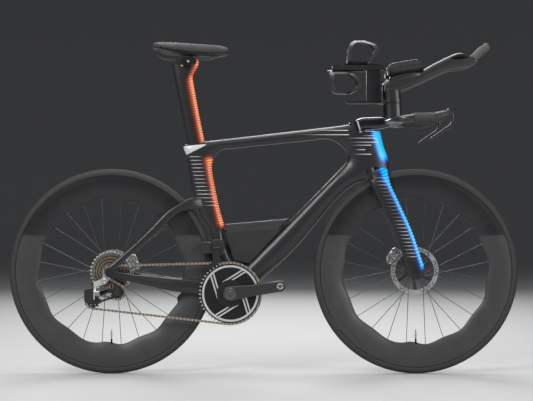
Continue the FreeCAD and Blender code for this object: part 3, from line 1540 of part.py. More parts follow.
lever_pairs = [
    ((160, 37), (155, 18)),
    ((170, 29), (159, 14)),
    ((180, 10), (169, 6)),
    ((175, -19), (165, -15)),
    ((158, -33), (152, -25)),
    ((132, -49), (129, -41)),
    ((110, -62), (110, -53.5)),
    ((103, -66), (104, -59)),
]
for label, hand in (("brake_lever_right", -1), ("brake_lever_left", 1)):
    y = hand * half_bar
    widths = [5.5, 6, 6, 6, 5.8, 5.4, 5, 3.5]
    sections = []
    for ((x1, z1), (x2, z2)), half in zip(lever_pairs, widths):
        a, b = cockpit(x1, z1, y), cockpit(x2, z2, y)
        sections.append(oval((a + b) * 0.5, (a - b) * 0.5, V(0, half, 0), 2.6, 2.6))
    lever = skin(sections).fuse(bar_y(pivot[0], pivot[1], 8, y - 6, y + 6))
    lever = lever.cut(bar_y(pivot[0], pivot[1], 2.6, y - 20, y + 20))
    part_feature(label, lever.removeSplitter())

# Risers, extensions, arm rests and shift buttons, in pairs.
arm_y = value("arm_spread")
extension_stations = [
    ((-32, 132), (-32, 99), 14),
    ((0, 139), (10, 97), 17),
    ((50, 147), (62, 116), 16),
    ((115, 182), (126, 145), 14),
    ((164, 207), (176, 168), 13),
    ((207, 225), (210, 175), 13),
    ((232, 221), (238, 179), 12.5),
    ((254, 211), (264, 189), 11.5),
    ((264, 207), (273, 197), 10),
]
tip_start, tip_end = cockpit(259, 207), cockpit(307, 250)
tip_run = (tip_end - tip_start).normalize()
cup_tilt = math.radians(10)
cup_run = V(math.cos(cup_tilt), 0, math.sin(cup_tilt))
columns, extensions, grip_ends, cups_rest, arm_pads = [], [], [], [], []
for hand in (-1, 1):
    across = V(0, hand * arm_y, 0)
    extension = skin([
        aero(cockpit_xz(*upper), cockpit_xz(*lower), half, hand * arm_y, 2.4, 2.4)
        for upper, lower, half in extension_stations
    ])
    riser = skin(
        [
            oval(cockpit(-1, -5) + across, V(27, 0, 0), V(0, 15, 0), 2.2, 2.6),
            oval(cockpit(-3, 47) + across, V(25.5, 0, 0), V(0, 14, 0), 2.2, 2.6),
            oval(cockpit(-5, 82) + across, V(25.5, 0, 0), V(0, 14.5, 0), 2.2, 2.6),
            oval(cockpit(-6, 112) + across, V(25.5, 0, 0), V(0, 15, 0), 2.2, 2.6),
        ]
    )
    band = skin(
        [oval(cockpit(-4, up) + across, V(28.5, 0, 0), V(0, 17.5, 0), 2.2, 2.6) for up in (63, 66, 69, 72)]
    )
    riser = riser.fuse(band).cut([base_bar, extension])
    columns.append(max(riser.Solids, key=lambda s: s.Volume))
    extensions.append(extension)
    steps = (0, 4, 15, 30, 48, 60, 64)
    grip = tube([tip_start + tip_run * s + across for s in steps], [11, 12.6, 13, 12.6, 13.4, 13, 11.5])
    pocket = Part.makeCylinder(6.3, 20, tip_start + tip_run * 57 + across, tip_run)
    grip = grip.cut([extension, pocket])
    grip_ends.append(max(grip.Solids, key=lambda s: s.Volume))
    button = Part.makeCylinder(6, 8, tip_start + tip_run * 60 + across, tip_run)
    button_mid = button.CenterOfMass
    tip_edges = [e for e in button.Edges if (e.CenterOfMass - button_mid).dot(tip_run) > 3]
    button = button.makeFillet(1.5, tip_edges)
    part_feature("shift_button_right" if hand < 0 else "shift_button_left", button)
    cup_start = cockpit(30, 201) + across - cup_run * 60
    outer = Part.makeCylinder(44, 118, cup_start, cup_run)
    inner = Part.makeCylinder(41, 118, cup_start, cup_run)
    upper_half = Part.makeBox(200, 200, 100, V(-100, -100, -6))
    upper_half.Placement = FreeCAD.Placement(
        cockpit(30, 201) + across, FreeCAD.Rotation(V(0, 1, 0), -math.degrees(cup_tilt))
    )
    pedestal = Part.makeCylinder(15, 40, cockpit(32, 122) + across, V(0, 0, 1))
    cup = outer.cut(upper_half).fuse(pedestal).cut([inner, extension])
    cups_rest.append(max(cup.Solids, key=lambda s: s.Volume))
    pad = Part.makeCylinder(40.8, 112, cup_start + cup_run * 3, cup_run)
    pad = pad.cut([Part.makeCylinder(33, 120, cup_start, cup_run), upper_half])
    rim_edges = [e for e in pad.Edges if e.Length > 90]
    arm_pads.append(pad.makeFillet(2.5, rim_edges))
part_feature("riser_columns", Part.makeCompound(columns))
part_feature("extensions", Part.makeCompound(extensions))
part_feature("extension_grips", Part.makeCompound(grip_ends))
part_feature("arm_cups", Part.makeCompound(cups_rest))
part_feature("arm_pads", Part.makeCompound(arm_pads))

# Bottle bracket behind the risers, and two open cages above and below its top plate.
def bracket_plate(corners, half_width):
    return side_plate([cockpit_xz(x, z) for x, z in corners], -half_width, half_width)


plate_low, plate_high = bar_level + 173, bar_level + 190
top_plate = bracket_plate([(-203, 173), (-203, 186), (-197, 190), (-34, 190), (-30, 173)], 20)
upright = bracket_plate([(-89, 67), (-89, 177), (-44, 177), (-42, 67)], 16)
low_plate = bracket_plate([(-157, 65), (-154, 62), (-34, 62), (-34, 71), (-157, 71)], 22)
cross_bar = bracket_plate([(-45, 62), (-27, 62), (-27, 71), (-45, 71)], arm_y + 14)
bracket = top_plate.multiFuse([upright, low_plate, cross_bar]).cut(columns).removeSplitter()
part_feature("bottle_bracket", max(bracket.Solids, key=lambda s: s.Volume))

shell_in = value("bottle_radius") + 1
shell_out = shell_in + 3


def bottle_cage(axis_z, down, x_from, loop):
    """Open cage: a spine strip, two side loops and a foot stop, bent round a bottle."""
    sleeve = Part.makeCylinder(shell_out, 118, V(x_from, 0, axis_z), V(1, 0, 0))
    sleeve = sleeve.cut(Part.makeCylinder(shell_in, 120, V(x_from - 1, 0, axis_z), V(1, 0, 0)))
    middle = (sum(x for x, _ in loop) / len(loop), sum(z for _, z in loop) / len(loop))
    hole = [(middle[0] + (x - middle[0]) * 0.74, middle[1] + (z - middle[1]) * 0.78) for x, z in loop]
    band = side_plate(loop, -60, 60).cut(side_plate(hole, -60, 60))
    spine_z = axis_z - shell_out - 1 if not down else axis_z + shell_in - 4
    spine = Part.makeBox(118, 26, 5 + 3, V(x_from, -13, spine_z))
    cage = sleeve.common(band.fuse(spine))
    return max(cage.Solids, key=lambda s: s.Volume) if cage.Solids else cage


upper_axis = plate_high + shell_out
lower_axis = plate_low - shell_out
upper_loop = [
    (-154, -39),
    (-151, 12),
    (-142, 32),
    (-128, 42),
    (-100, 42),
    (-62, 28),
    (-48, 8),
    (-58, -12),
    (-90, -39),
]
lower_loop = [
    (-210, 39),
    (-208, -14),
    (-198, -34),
    (-182, -42),
    (-154, -42),
    (-118, -26),
    (-104, -6),
    (-116, 14),
    (-146, 39),
]
cages = [
    bottle_cage(upper_axis, False, bar_x - 164, [(bar_x + x, upper_axis + z) for x, z in upper_loop]),
    bottle_cage(lower_axis, True, bar_x - 218, [(bar_x + x, lower_axis + z) for x, z in lower_loop]),
]
part_feature("bottle_cages", Part.makeCompound(cages))

# Storage box in the corner of the main triangle, with a lid over its hollow body.
BOX_HALF = 20.0
box_nose = mix(run_up, bend_up, 0.141)
box_outline = [
    seat_xz(212, 26),
    seat_xz(226, 30.8),
    (box_nose[0], box_nose[1] + 14),
    bb_xz(58.3, 104),
    bb_xz(17.3, 111),
]


def shrunk(points, wall):
    """Outline moved inwards by a wall thickness."""
    total = len(points)
    moved = []
    for k in range(total):
        (x0, z0), (x1, z1), (x2, z2) = points[k - 1], points[k], points[(k + 1) % total]
        a = V(x1 - x0, 0, z1 - z0).normalize()
        b = V(x2 - x1, 0, z2 - z1).normalize()
        na, nb = V(a.z, 0, -a.x), V(b.z, 0, -b.x)
        shift = (na + nb) * (wall / (1 + na.dot(nb)))
        moved.append((x1 + shift.x, z1 + shift.z))
    return moved


box_form = side_plate(box_outline, -BOX_HALF, BOX_HALF)
box_edges = [e for e in box_form.Edges if abs(abs(e.CenterOfMass.y) - BOX_HALF) < 0.1]
box_form = box_form.makeFillet(4, box_edges)
box_core = side_plate(shrunk(box_outline, 2.6), -BOX_HALF + 2.6, BOX_HALF - 2.6)
above = side_plate([bb_xz(-31, 198), bb_xz(260, 222.6), bb_xz(260, 292), bb_xz(-31, 292)], -60, 60)
lid = box_form.common(above)
groove = belt_plate(bb_xz(49, 220.5), bb_xz(149, 229), 2.2, 2.1, -BOX_HALF - 2, -BOX_HALF + 1.2)
seated = side_plate(shrunk(box_outline, -8), -BOX_HALF, BOX_HALF)
seated = seated.makeFillet(4, [e for e in seated.Edges if abs(abs(e.CenterOfMass.y) - BOX_HALF) < 0.1])
box_body = seated.cut([above, box_core, frame_node.Shape])
part_feature("storage_box", max(box_body.Solids, key=lambda s: s.Volume))
part_feature("storage_lid", lid.cut([groove, mirrored(groove)]))

# Front derailleur: body with battery on the seat tube, and a cage hinged along the bike.
fd_outline = [
    bb_xz(-61.7, 130),
    bb_xz(-61.7, 173),
    bb_xz(-53.7, 178),
    bb_xz(-26.7, 178),
    bb_xz(-18.7, 170),
    bb_xz(-20.7, 130),
    bb_xz(-30.7, 124),
    bb_xz(-50.7, 124),
]
fd_body = side_plate(fd_outline, -48, -27)
fd_body = fd_body.makeFillet(3, fd_body.Edges)
foot_outline = [bb_xz(-50.7, 136), bb_xz(-50.7, 168), bb_xz(-24.7, 168), bb_xz(-24.7, 136)]
fd_foot = side_plate(foot_outline, -32, -12)
battery_outline = [
    bb_xz(-95.7, 134),
    bb_xz(-95.7, 166),
    bb_xz(-90.7, 170),
    bb_xz(-62.7, 168),
    bb_xz(-60.7, 132),
    bb_xz(-90.7, 130),
]
fd_battery = side_plate(battery_outline, -49, -29)
fd_battery = fd_battery.makeFillet(3, fd_battery.Edges)
HINGE_Y, HINGE_Z = -value("ring_plane") - 6, BB[1] + 150
lugs = [Part.makeBox(5, 12, 10, V(BB[0] + x, HINGE_Y - 3.5, HINGE_Z - 5)) for x in (-59.7, -33.7)]
hinge_pin = Part.makeCylinder(2, 29, V(BB[0] - 58.7, HINGE_Y, HINGE_Z), V(1, 0, 0))
fd_whole = fd_body.multiFuse([fd_foot, fd_battery] + lugs + [hinge_pin])
part_feature("front_derailleur", max(fd_whole.cut(frame_node.Shape).Solids, key=lambda s: s.Volume))
cage_y = -value("ring_plane")


def ring_sector(r_in, r_out, y_from, y_to, first, last):
    """Part of a flat ring round the bottom bracket between two angles."""
    ring = bar_y(BB[0], BB[1], r_out, y_from, y_to).cut(bar_y(BB[0], BB[1], r_in, y_from - 1, y_to + 1))
    spots = [BB] + [
        (BB[0] + 200 * math.cos(math.radians(a)), BB[1] + 200 * math.sin(math.radians(a)))
        for a in (first, (first + last) / 2, last)
    ]
    return ring.common(side_plate(spots, y_from - 1, y_to + 1))


cage_parts = [
    ring_sector(106.5, 119, cage_y - 7, cage_y - 5.6, 104, 134),
    ring_sector(98, 119, cage_y + 5.6, cage_y + 7, 104, 134),
    ring_sector(115, 119, cage_y - 7, cage_y + 7, 110, 116),
    ring_sector(115, 119, cage_y - 7, cage_y + 7, 128, 134),
    Part.makeBox(20, 3, 42, V(BB[0] - 54.1, cage_y - 7, HINGE_Z - 42)),
    Part.makeCylinder(4.0, 20, V(BB[0] - 54.1, HINGE_Y, HINGE_Z), V(1, 0, 0)),
]
fd_cage = cage_parts[0].multiFuse(cage_parts[1:])
fd_cage = fd_cage.cut(Part.makeCylinder(2.1, 40, V(BB[0] - 65.7, HINGE_Y, HINGE_Z), V(1, 0, 0)))
part_feature("front_derailleur_cage", fd_cage.removeSplitter())

# Every sub-part is checked and written to its own file.
doc.recompute()
os.makedirs("parts", exist_ok=True)
for item in doc.Objects:
    if "Invalid" in item.State or "Error" in item.State:
        raise RuntimeError(f"{item.Label} did not build")
for node in NODES:
    if node.Shape.isNull() or not node.Shape.isValid() or not node.Shape.Solids:
        raise RuntimeError(f"{node.Label} has no sound solid")
    node.Shape.exportStep(f"parts/{node.Label}.step")
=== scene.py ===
import json
import math

import bmesh
import bpy
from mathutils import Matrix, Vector


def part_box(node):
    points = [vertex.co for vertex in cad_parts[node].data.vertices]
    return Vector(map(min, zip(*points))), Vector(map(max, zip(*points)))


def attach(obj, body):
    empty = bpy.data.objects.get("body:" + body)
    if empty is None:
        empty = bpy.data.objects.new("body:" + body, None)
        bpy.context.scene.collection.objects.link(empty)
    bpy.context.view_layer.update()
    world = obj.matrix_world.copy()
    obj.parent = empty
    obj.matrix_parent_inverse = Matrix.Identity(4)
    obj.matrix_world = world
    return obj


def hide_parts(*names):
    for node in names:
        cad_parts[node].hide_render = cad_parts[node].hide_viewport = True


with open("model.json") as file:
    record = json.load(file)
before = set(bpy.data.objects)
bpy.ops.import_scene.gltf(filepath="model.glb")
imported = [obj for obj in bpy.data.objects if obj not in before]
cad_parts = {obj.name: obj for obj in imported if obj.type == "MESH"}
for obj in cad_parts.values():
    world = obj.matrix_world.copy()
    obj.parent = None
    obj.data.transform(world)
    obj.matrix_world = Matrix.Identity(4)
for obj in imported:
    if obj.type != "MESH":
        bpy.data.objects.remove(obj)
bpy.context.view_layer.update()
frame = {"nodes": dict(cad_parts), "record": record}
nodes = frame["nodes"]

# Frame: one moulded carbon piece under satin black paint, sanded flat and lacquered.
# The ribbed front of the seat tube is painted with orange light and the nose of the head tube
# with blue light, both also glowing by emission, and thin silver painted highlights run back from both.


class Signal:
    """A value, vector or colour in a material, which can be used in sums."""

    def __init__(self, tree, socket):
        self.tree, self.socket = tree, socket

    def node(self, kind, settings=None, output=0, **inputs):
        """Adds a node: its settings first, then a value or a link for each named socket."""
        made = self.tree.nodes.new("ShaderNode" + kind)
        for key, setting in (settings or {}).items():
            if key == "stops":
                ramp = made.color_ramp.elements
                while len(ramp) < len(setting):
                    ramp.new(0.5)
                for stop, (position, colour) in zip(ramp, setting):
                    stop.position, stop.color = position, colour
            else:
                setattr(made, key, setting)
        for key, given in inputs.items():
            place = int(key[1:]) if key[0] == "_" else key.replace("_", " ")
            if isinstance(given, Signal):
                self.tree.links.new(given.socket, made.inputs[place])
            else:
                made.inputs[place].default_value = given
        return Signal(self.tree, made.outputs[output])

    def sum(self, operation, first, second):
        return self.node("Math", {"operation": operation}, _0=first, _1=second)

    def __add__(self, other):
        return self.sum("ADD", self, other)

    def __sub__(self, other):
        return self.sum("SUBTRACT", self, other)

    def __rsub__(self, other):
        return self.sum("SUBTRACT", other, self)

    def __mul__(self, other):
        return self.sum("MULTIPLY", self, other)

    def __truediv__(self, other):
        return self.sum("DIVIDE", self, other)

    __radd__ = __add__
    __rmul__ = __mul__


def new_finish(name):
    """An empty material, and the place on the piece in metres as the signal to start from."""
    material = bpy.data.materials.new(name)
    material.use_nodes = True
    start = Signal(material.node_tree, None)
    return material, start.node("TexCoord", output="Object")


def axes(place):
    """The three parts of a place."""
    across = place.node("SeparateXYZ", Vector=place)
    return [Signal(place.tree, socket) for socket in across.socket.node.outputs]


def ease(signal, low, high):
    """0 below low, 1 above high, smooth between; falls where low is the larger."""
    if low > high:
        return 1 - ease(signal, high, low)
    return signal.node(
        "MapRange", {"interpolation_type": "SMOOTHSTEP"}, Value=signal, From_Min=low, From_Max=high
    )


def blend(mask, first, second):
    """Colour first where the mask is 0 and second where it is 1."""
    return mask.node("Mix", {"data_type": "RGBA"}, output=2, _0=mask, _6=first, _7=second)


def grain(place, scale, detail=3.0):
    """Even noise over a place, finer as the scale grows."""
    return place.node("TexNoise", Vector=place, Scale=scale, Detail=detail)


def from_line(along, pitch):
    """Distance from the nearest of a row of lines, one per pitch."""
    return along.node("Math", {"operation": "PINGPONG"}, _0=along, _1=pitch / 2)


LINE_OUTER_FADE = 0.0004
LINE_INNER_FADE = 0.0002


def dashes(along, pitch, width):
    """Thin lines across a direction, one per pitch."""
    return ease(from_line(along, pitch), width / 2 + LINE_OUTER_FADE, width / 2 - LINE_INNER_FADE)


def close_finish(material, place, colour, roughness, height=None, depth=None, **others):
    """Joins colour, roughness, bump and any other values or signals to the shader."""
    shader = material.node_tree.nodes["Principled BSDF"]
    joined = {"Base_Color": colour, "Roughness": roughness, **others}
    if height is not None:
        joined["Normal"] = place.node("Bump", Height=height, Distance=depth, Strength=1.0)
    for name, given in joined.items():
        socket = shader.inputs[name.replace("_", " ")]
        if isinstance(given, Signal):
            material.node_tree.links.new(given.socket, socket)
        else:
            socket.default_value = given
    return material


def dress(material, *names):
    """Gives CAD nodes a material."""
    for name in names:
        mesh = nodes[name].data
        mesh.materials.clear()
        mesh.materials.append(material)


PAINT_BLACK = (0.0065, 0.0067, 0.0075, 1)
PAINT_GREY = (0.0125, 0.0128, 0.014, 1)
CLOUD_SCALE = 9
FLAKE_SCALE = 2600
FLAKE_DEPTH = 0.00002
# Silver of the painted highlights: light caught on the ribs and tube edges.
PAINTED_HIGHLIGHT_SILVER = (0.55, 0.55, 0.56, 1)
GLOW_START = (0.0, 0.2)
# Strength of the painted glow: the orange and blue fades also shine by emission, though the frame is no
# lamp.
GLOW_STRENGTH = 0.5
# Orange and blue painted coloured light, from black up to the brightest colour at the leading edge.
EMBER_RAMP = [
    (0.0, (0.0065, 0.0064, 0.007, 1)),
    (0.3, (0.022, 0.007, 0.0055, 1)),
    (0.55, (0.11, 0.02, 0.011, 1)),
    (0.78, (0.42, 0.066, 0.02, 1)),
    (0.92, (0.85, 0.17, 0.04, 1)),
    (1.0, (1.0, 0.37, 0.11, 1)),
]
ICE_RAMP = [
    (0.0, (0.0062, 0.0065, 0.0075, 1)),
    (0.3, (0.002, 0.012, 0.06, 1)),
    (0.6, (0.001, 0.07, 0.36, 1)),
    (0.85, (0.001, 0.25, 0.9, 1)),
    (1.0, (0.004, 0.47, 1.0, 1)),
]
BOTTOM_BRACKET = (-0.1093, 0.268)
SEAT_TUBE = (BOTTOM_BRACKET, math.radians(78.3))
STEER_AXIS = ((0.46399, 0.32607), math.radians(72.5))
RIB_PITCH = 0.0081
SCALLOP_EDGE = (0.2, 0.38)
# Share of the fade left in the scallops: painted shade in the hollows.
SCALLOP_SHADE = 0.8


def tube_axes(x, z, foot, lean):
    """Up along a leaning tube from its foot, and ahead of it."""
    dx, dz = x - foot[0], z - foot[1]
    up = dz * math.sin(lean) - dx * math.cos(lean)
    return up, dx * math.sin(lean) + dz * math.cos(lean)


def ribbed(mask, up, first, pitch):
    """A fade that is strongest on the ribs as painted highlight, and dulled in the scallops between them as
    painted shade.
    """
    land = ease(from_line(up - first, pitch), *[share * pitch for share in SCALLOP_EDGE])
    return mask * (SCALLOP_SHADE + (1 - SCALLOP_SHADE) * land)


def satin_paint(name, glows, painted_highlights):
    """Black satin paint with fades of painted coloured light, each a mask and a ramp, that also glow by
    emission, and silver painted highlights.
    """
    material, place = new_finish(name)
    x, _, z = axes(place)
    colour = blend(grain(place, CLOUD_SCALE), PAINT_BLACK, PAINT_GREY)
    painted_glow = None
    for mask, stops in glows(x, z):
        fade = mask.node("ValToRGB", {"stops": stops}, Fac=mask)
        colour = blend(ease(mask, *GLOW_START), colour, fade)
        # The fades add up to a painted glow that the surface emits.
        painted_glow = fade if painted_glow is None else painted_glow.node(
            "Mix", {"data_type": "RGBA", "blend_type": "ADD"}, output=2, _0=1.0, _6=painted_glow, _7=fade
        )
    # Painted highlights: silver lines mixed into the colour where light would catch.
    silver = painted_highlights(x, z)
    colour = blend(silver, colour, PAINTED_HIGHLIGHT_SILVER)
    roughness = 0.33 + 0.06 * grain(place, 60) - 0.1 * silver
    flake = grain(place, FLAKE_SCALE, 1.0)
    return close_finish(
        material,
        place,
        colour,
        roughness,
        flake,
        FLAKE_DEPTH,
        Coat_Weight=0.15,
        Coat_Roughness=0.2,
        Specular_IOR_Level=0.4,
        Emission_Color=painted_glow,
        Emission_Strength=GLOW_STRENGTH,
    )


EMBER_BACK = (-0.020, 0.021)
EMBER_FRONT = (0.036, 0.03)
EMBER_FOOT = (0.462, 0.5)
EMBER_TOP = (0.738, 0.705)
EMBER_FIRST_RIB = 0.238
ICE_BACK = (0.024, 0.052)
ICE_FOOT = (0.356, 0.40)
ICE_TOP = (0.5, 0.486)


def frame_glows(x, z):
    """Painted orange light along the front of the seat tube, and painted blue light on the nose of the head
    tube.
    """
    up, ahead = tube_axes(x, z, *SEAT_TUBE)
    ember = ease(ahead, *EMBER_BACK) * ease(ahead, *EMBER_FRONT)
    ember = ember * ease(z, *EMBER_FOOT) * ease(z, *EMBER_TOP)
    rise, nose = tube_axes(x, z, *STEER_AXIS)
    ice = ease(nose, *ICE_BACK) * ease(rise, *ICE_FOOT) * ease(rise, *ICE_TOP)
    return [(ribbed(ember, up, EMBER_FIRST_RIB, RIB_PITCH), EMBER_RAMP), (ice, ICE_RAMP)]


# Painted highlights by the head tube: start, end and height of each silver line.
HEAD_HIGHLIGHT_LINES = [
    (0.16, 0.278, 0.806),
    (0.10, 0.281, 0.7918),
    (0.346, 0.374, 0.810),
    (0.322, 0.366, 0.7885),
    (0.262, 0.37, 0.7803),
    (0.275, 0.377, 0.767),
    (0.285, 0.354, 0.757),
    (0.298, 0.334, 0.742),
    (0.292, 0.354, 0.727),
]
HIGHLIGHT_LINE_EDGE = (0.0019, 0.0011)
HIGHLIGHT_LINE_TIP = 0.003
TUBE_HIGHLIGHT_PITCH = 0.0124
TUBE_HIGHLIGHT_DASHES = [
    (0.0019, (-0.047, -0.034), (0.002, -0.018), (0.575, 0.59), (0.724, 0.72), 0.75),
    (0.0017, (-0.034, 0.0), (0.018, 0.008), (0.545, 0.555), (0.612, 0.6), 0.7),
]
WEDGE_FOOT = (0.5, 0.8526, 0.8532)
WEDGE_TOP = (0.086, 0.7775, 0.7769)
WEDGE_BACK = (-0.2, -0.1165, -0.1157)
WEDGE_FRONT = (-0.19, -0.196)


def beyond(along, across, slope, low, high):
    """0 before a sloping line, 1 after it."""
    return ease(along - slope * across, low, high)


def frame_painted_highlights(x, z):
    """Painted highlights: lines by the head tube, dashes on the seat tube, and a wedge behind its top."""
    total = None
    for start, end, level in HEAD_HIGHLIGHT_LINES:
        line = x.node("Math", {"operation": "ABSOLUTE"}, _0=z - level)
        line = ease(line, *HIGHLIGHT_LINE_EDGE) * ease(x, start, end) * ease(x, end + HIGHLIGHT_LINE_TIP, end)
        total = line if total is None else total + line
    _, ahead = tube_axes(x, z, *SEAT_TUBE)
    for width, back, front, foot, top, strength in TUBE_HIGHLIGHT_DASHES:
        row = dashes(z, TUBE_HIGHLIGHT_PITCH, width) * ease(ahead, *back) * ease(ahead, *front)
        total = total + row * ease(z, *foot) * ease(z, *top) * strength
    wedge = beyond(z, x, *WEDGE_FOOT) * beyond(z, x, *WEDGE_TOP)
    wedge = wedge * beyond(x, z, *WEDGE_BACK) * ease(x, *WEDGE_FRONT)
    return total + wedge


dress(satin_paint("frame_paint", frame_glows, frame_painted_highlights), "frame")

# Headset bearings: two sealed ball bearings of ground steel, dropped into the frame from
# above and below. Only their edges show between frame, fork and stem.
BRUSH_SCALE = 220
BRUSH_DEPTH = 0.00004
SPOT_SCALE = 35


def metal_finish(name, dark, light, roughness, metallic):
    """Turned, stamped or anodised metal: a fine brushed grain over broader spots."""
    material, place = new_finish(name)
    brushed = grain(place, BRUSH_SCALE, 4.0)
    spots = grain(place, SPOT_SCALE)
    colour = blend(brushed, dark, light)
    rough = roughness + 0.12 * brushed + 0.08 * spots - 0.1
    return close_finish(material, place, colour, rough, brushed, BRUSH_DEPTH, Metallic=metallic)


dress(metal_finish("bearing_steel", (0.4, 0.4, 0.41, 1), (0.6, 0.6, 0.6, 1), 0.35, 1.0), "headset_bearings")

# Fork: two deep carbon blades moulded in one with the crown and steerer. Scallops run
# down the leading edges, which are painted with blue light that glows by emission, with one silver painted
# highlight behind each rib.
FORK_RIB_PITCH = 0.011
FORK_FIRST_RIB = 0.034
FORK_HEIGHT = 0.4
FORK_REACH = 0.1
FORK_LEAD = [
    (0.0, 0.67),
    (0.055, 0.70),
    (0.152, 0.695),
    (0.26, 0.695),
    (0.375, 0.67),
    (0.5, 0.61),
    (0.625, 0.55),
    (0.7375, 0.49),
    (0.8275, 0.505),
    (1.0, 0.53),
]
BLADE_BACK = (-0.024, -0.006)
BLADE_FOOT = (-0.016, 0.02)
CROWN_BACK = (-0.038, -0.012)
CROWN_FOOT = (0.29, 0.325)
FORK_DASH_PITCH = 0.0118
FORK_DASH_WIDTH = 0.0022
FORK_DASH_BACK = (-0.05, -0.02)
FORK_DASH_FRONT = (-0.012, -0.018)
FORK_DASH_TOP = (0.655, 0.645)
FORK_DASH_FOOT = (0.375, 0.39)
BRIGHT_ABOVE = (0.612, 0.63)
BRIGHT_BELOW = (0.53, 0.48)


def ahead_of_edge(x, z):
    """Height up the fork, and how far ahead of its leading edge a place lies."""
    rise, ahead = tube_axes(x, z, *STEER_AXIS)
    stops = [(at, (share, share, share, 1)) for at, share in FORK_LEAD]
    lead = rise.node("ValToRGB", {"stops": stops}, Fac=rise / FORK_HEIGHT)
    return rise, ahead - lead * FORK_REACH


def fork_glows(x, z):
    """Painted blue light along the leading edge of the blades, wider at the crown."""
    rise, edge = ahead_of_edge(x, z)
    ice = ease(edge, *BLADE_BACK) * ease(rise, *BLADE_FOOT)
    crown = ease(edge, *CROWN_BACK) * ease(rise, *CROWN_FOOT)
    return [(ribbed(ice + (1 - ice) * crown, rise, FORK_FIRST_RIB, FORK_RIB_PITCH), ICE_RAMP)]


def fork_painted_highlights(x, z):
    """Painted highlights: level dashes behind the ribs, faint in the middle of the blade."""
    _, edge = ahead_of_edge(x, z)
    line = dashes(z, FORK_DASH_PITCH, FORK_DASH_WIDTH)
    line = line * ease(edge, *FORK_DASH_BACK) * ease(edge, *FORK_DASH_FRONT)
    line = line * ease(z, *FORK_DASH_TOP) * ease(z, *FORK_DASH_FOOT)
    return line * (0.28 + 0.5 * ease(z, *BRIGHT_ABOVE) + 0.5 * ease(z, *BRIGHT_BELOW))


dress(satin_paint("fork_paint", fork_glows, fork_painted_highlights), "fork")

# Hubs and axles: shells turned from alloy bar and anodised black, with a flange at each end
# for the spokes. They run on hollow through axles that screw into the fork and frame ends.
anodised = metal_finish("anodised_black", (0.014, 0.014, 0.016, 1), (0.034, 0.034, 0.037, 1), 0.4, 0.55)
dress(anodised, "front_hub", "rear_hub", "front_axle", "rear_axle")

# Spokes: bladed steel, drawn flat and blackened, hooked into the hub flanges and screwed
# into nipples inside the rim.
dress(
    metal_finish("spoke_steel", (0.04, 0.04, 0.042, 1), (0.12, 0.12, 0.122, 1), 0.36, 0.8),
    "front_spokes",
    "rear_spokes",
)

# Rims: deep carbon hoops with a waved inner edge. The lower part is painted a lighter
# grey as painted light and the upper part is dark lacquer, with a soft straight edge between.
PAINTED_LIGHT_EDGE = (0.455, 0.462)


def stretched(place, x, y, z):
    """The place with each axis scaled, for grain with a direction."""
    return place.node("VectorMath", {"operation": "MULTIPLY"}, _0=place, _1=(x, y, z))


def rim_finish(name):
    material, place = new_finish(name)
    _, _, z = axes(place)
    # Painted light: the rim is lighter below this height and dark above it.
    dark = ease(z, *PAINTED_LIGHT_EDGE)
    cloud = grain(place, 24)
    painted_lit_grey = blend(cloud, (0.026, 0.026, 0.028, 1), (0.04, 0.04, 0.042, 1))
    colour = blend(dark, painted_lit_grey, (0.0115, 0.0115, 0.0135, 1))
    rough = 0.4 + 0.1 * cloud - 0.14 * dark
    weave = grain(stretched(place, 1, 1, 1.4), 900, 2.0)
    return close_finish(material, place, colour, rough, weave, 0.00003)


dress(rim_finish("rim_skin"), "front_rim", "rear_rim")

# Tyres: clincher tyres of black rubber with fine file lines on the tread and a smoother,
# browner side wall over the cotton casing.
AXLE_HEIGHT = 0.339
FRONT_AXLE_X = 0.505
REAR_AXLE_X = -0.505
TREAD_EDGE = (0.3335, 0.335)
BEAD_EDGE = (0.3195, 0.3183)
FILE_PITCH = 0.011
FILE_WIDTH = 0.004
CORD_PITCH = 0.0011
CORD_WIDTH = 0.0005


def polar(x, z, centre_x, centre_z):
    """Distance and angle from an axis across the bike."""
    dx, dz = x - centre_x, z - centre_z
    radius = x.node("Math", {"operation": "SQRT"}, _0=dx * dx + dz * dz)
    return radius, x.node("Math", {"operation": "ARCTAN2"}, _0=dz, _1=dx)


def tyre_finish(name, hub_x):
    material, place = new_finish(name)
    x, y, z = axes(place)
    radius, angle = polar(x, z, hub_x, AXLE_HEIGHT)
    tread = ease(radius, *TREAD_EDGE)
    file_lines = dashes(angle + 2.2 * y, FILE_PITCH, FILE_WIDTH) * tread
    wall = blend(grain(place, 300), (0.016, 0.0155, 0.015, 1), (0.032, 0.031, 0.03, 1))
    crown = blend(grain(place, 700), (0.011, 0.011, 0.011, 1), (0.025, 0.025, 0.025, 1))
    bead = ease(radius, *BEAD_EDGE)
    colour = blend(bead, blend(tread, wall, crown), (0.004, 0.004, 0.004, 1))
    casing = dashes(radius, CORD_PITCH, CORD_WIDTH) * (1 - tread)
    rough = 0.6 + 0.18 * grain(place, 160) + 0.06 * tread
    height = grain(place, 900) * 0.4 - file_lines + 0.3 * casing
    return close_finish(material, place, colour, rough, height, 0.0003)


dress(tyre_finish("front_tyre_rubber", FRONT_AXLE_X), "front_tyre")
dress(tyre_finish("rear_tyre_rubber", REAR_AXLE_X), "rear_tyre")

# Valves: slim brass stems with a fine rolled thread and a bare tip, one from each tube. A
# black nut holds each of them down on the rim.
THREAD_PITCH = 0.0009
THREAD_WIDTH = 0.0004
NUT_EDGE = (0.116, 0.114)


def valve_finish():
    material, place = new_finish("valve_brass")
    _, _, z = axes(place)
    thread = dashes(z, THREAD_PITCH, THREAD_WIDTH)
    brass = blend(grain(place, 240), (0.45, 0.31, 0.12, 1), (0.78, 0.6, 0.3, 1))
    colour = blend(ease(z, *NUT_EDGE), brass, (0.015, 0.015, 0.016, 1))
    return close_finish(material, place, colour, 0.3 + 0.1 * thread, thread, 0.0001, Metallic=0.9)


dress(valve_finish(), "front_valve", "rear_valve")

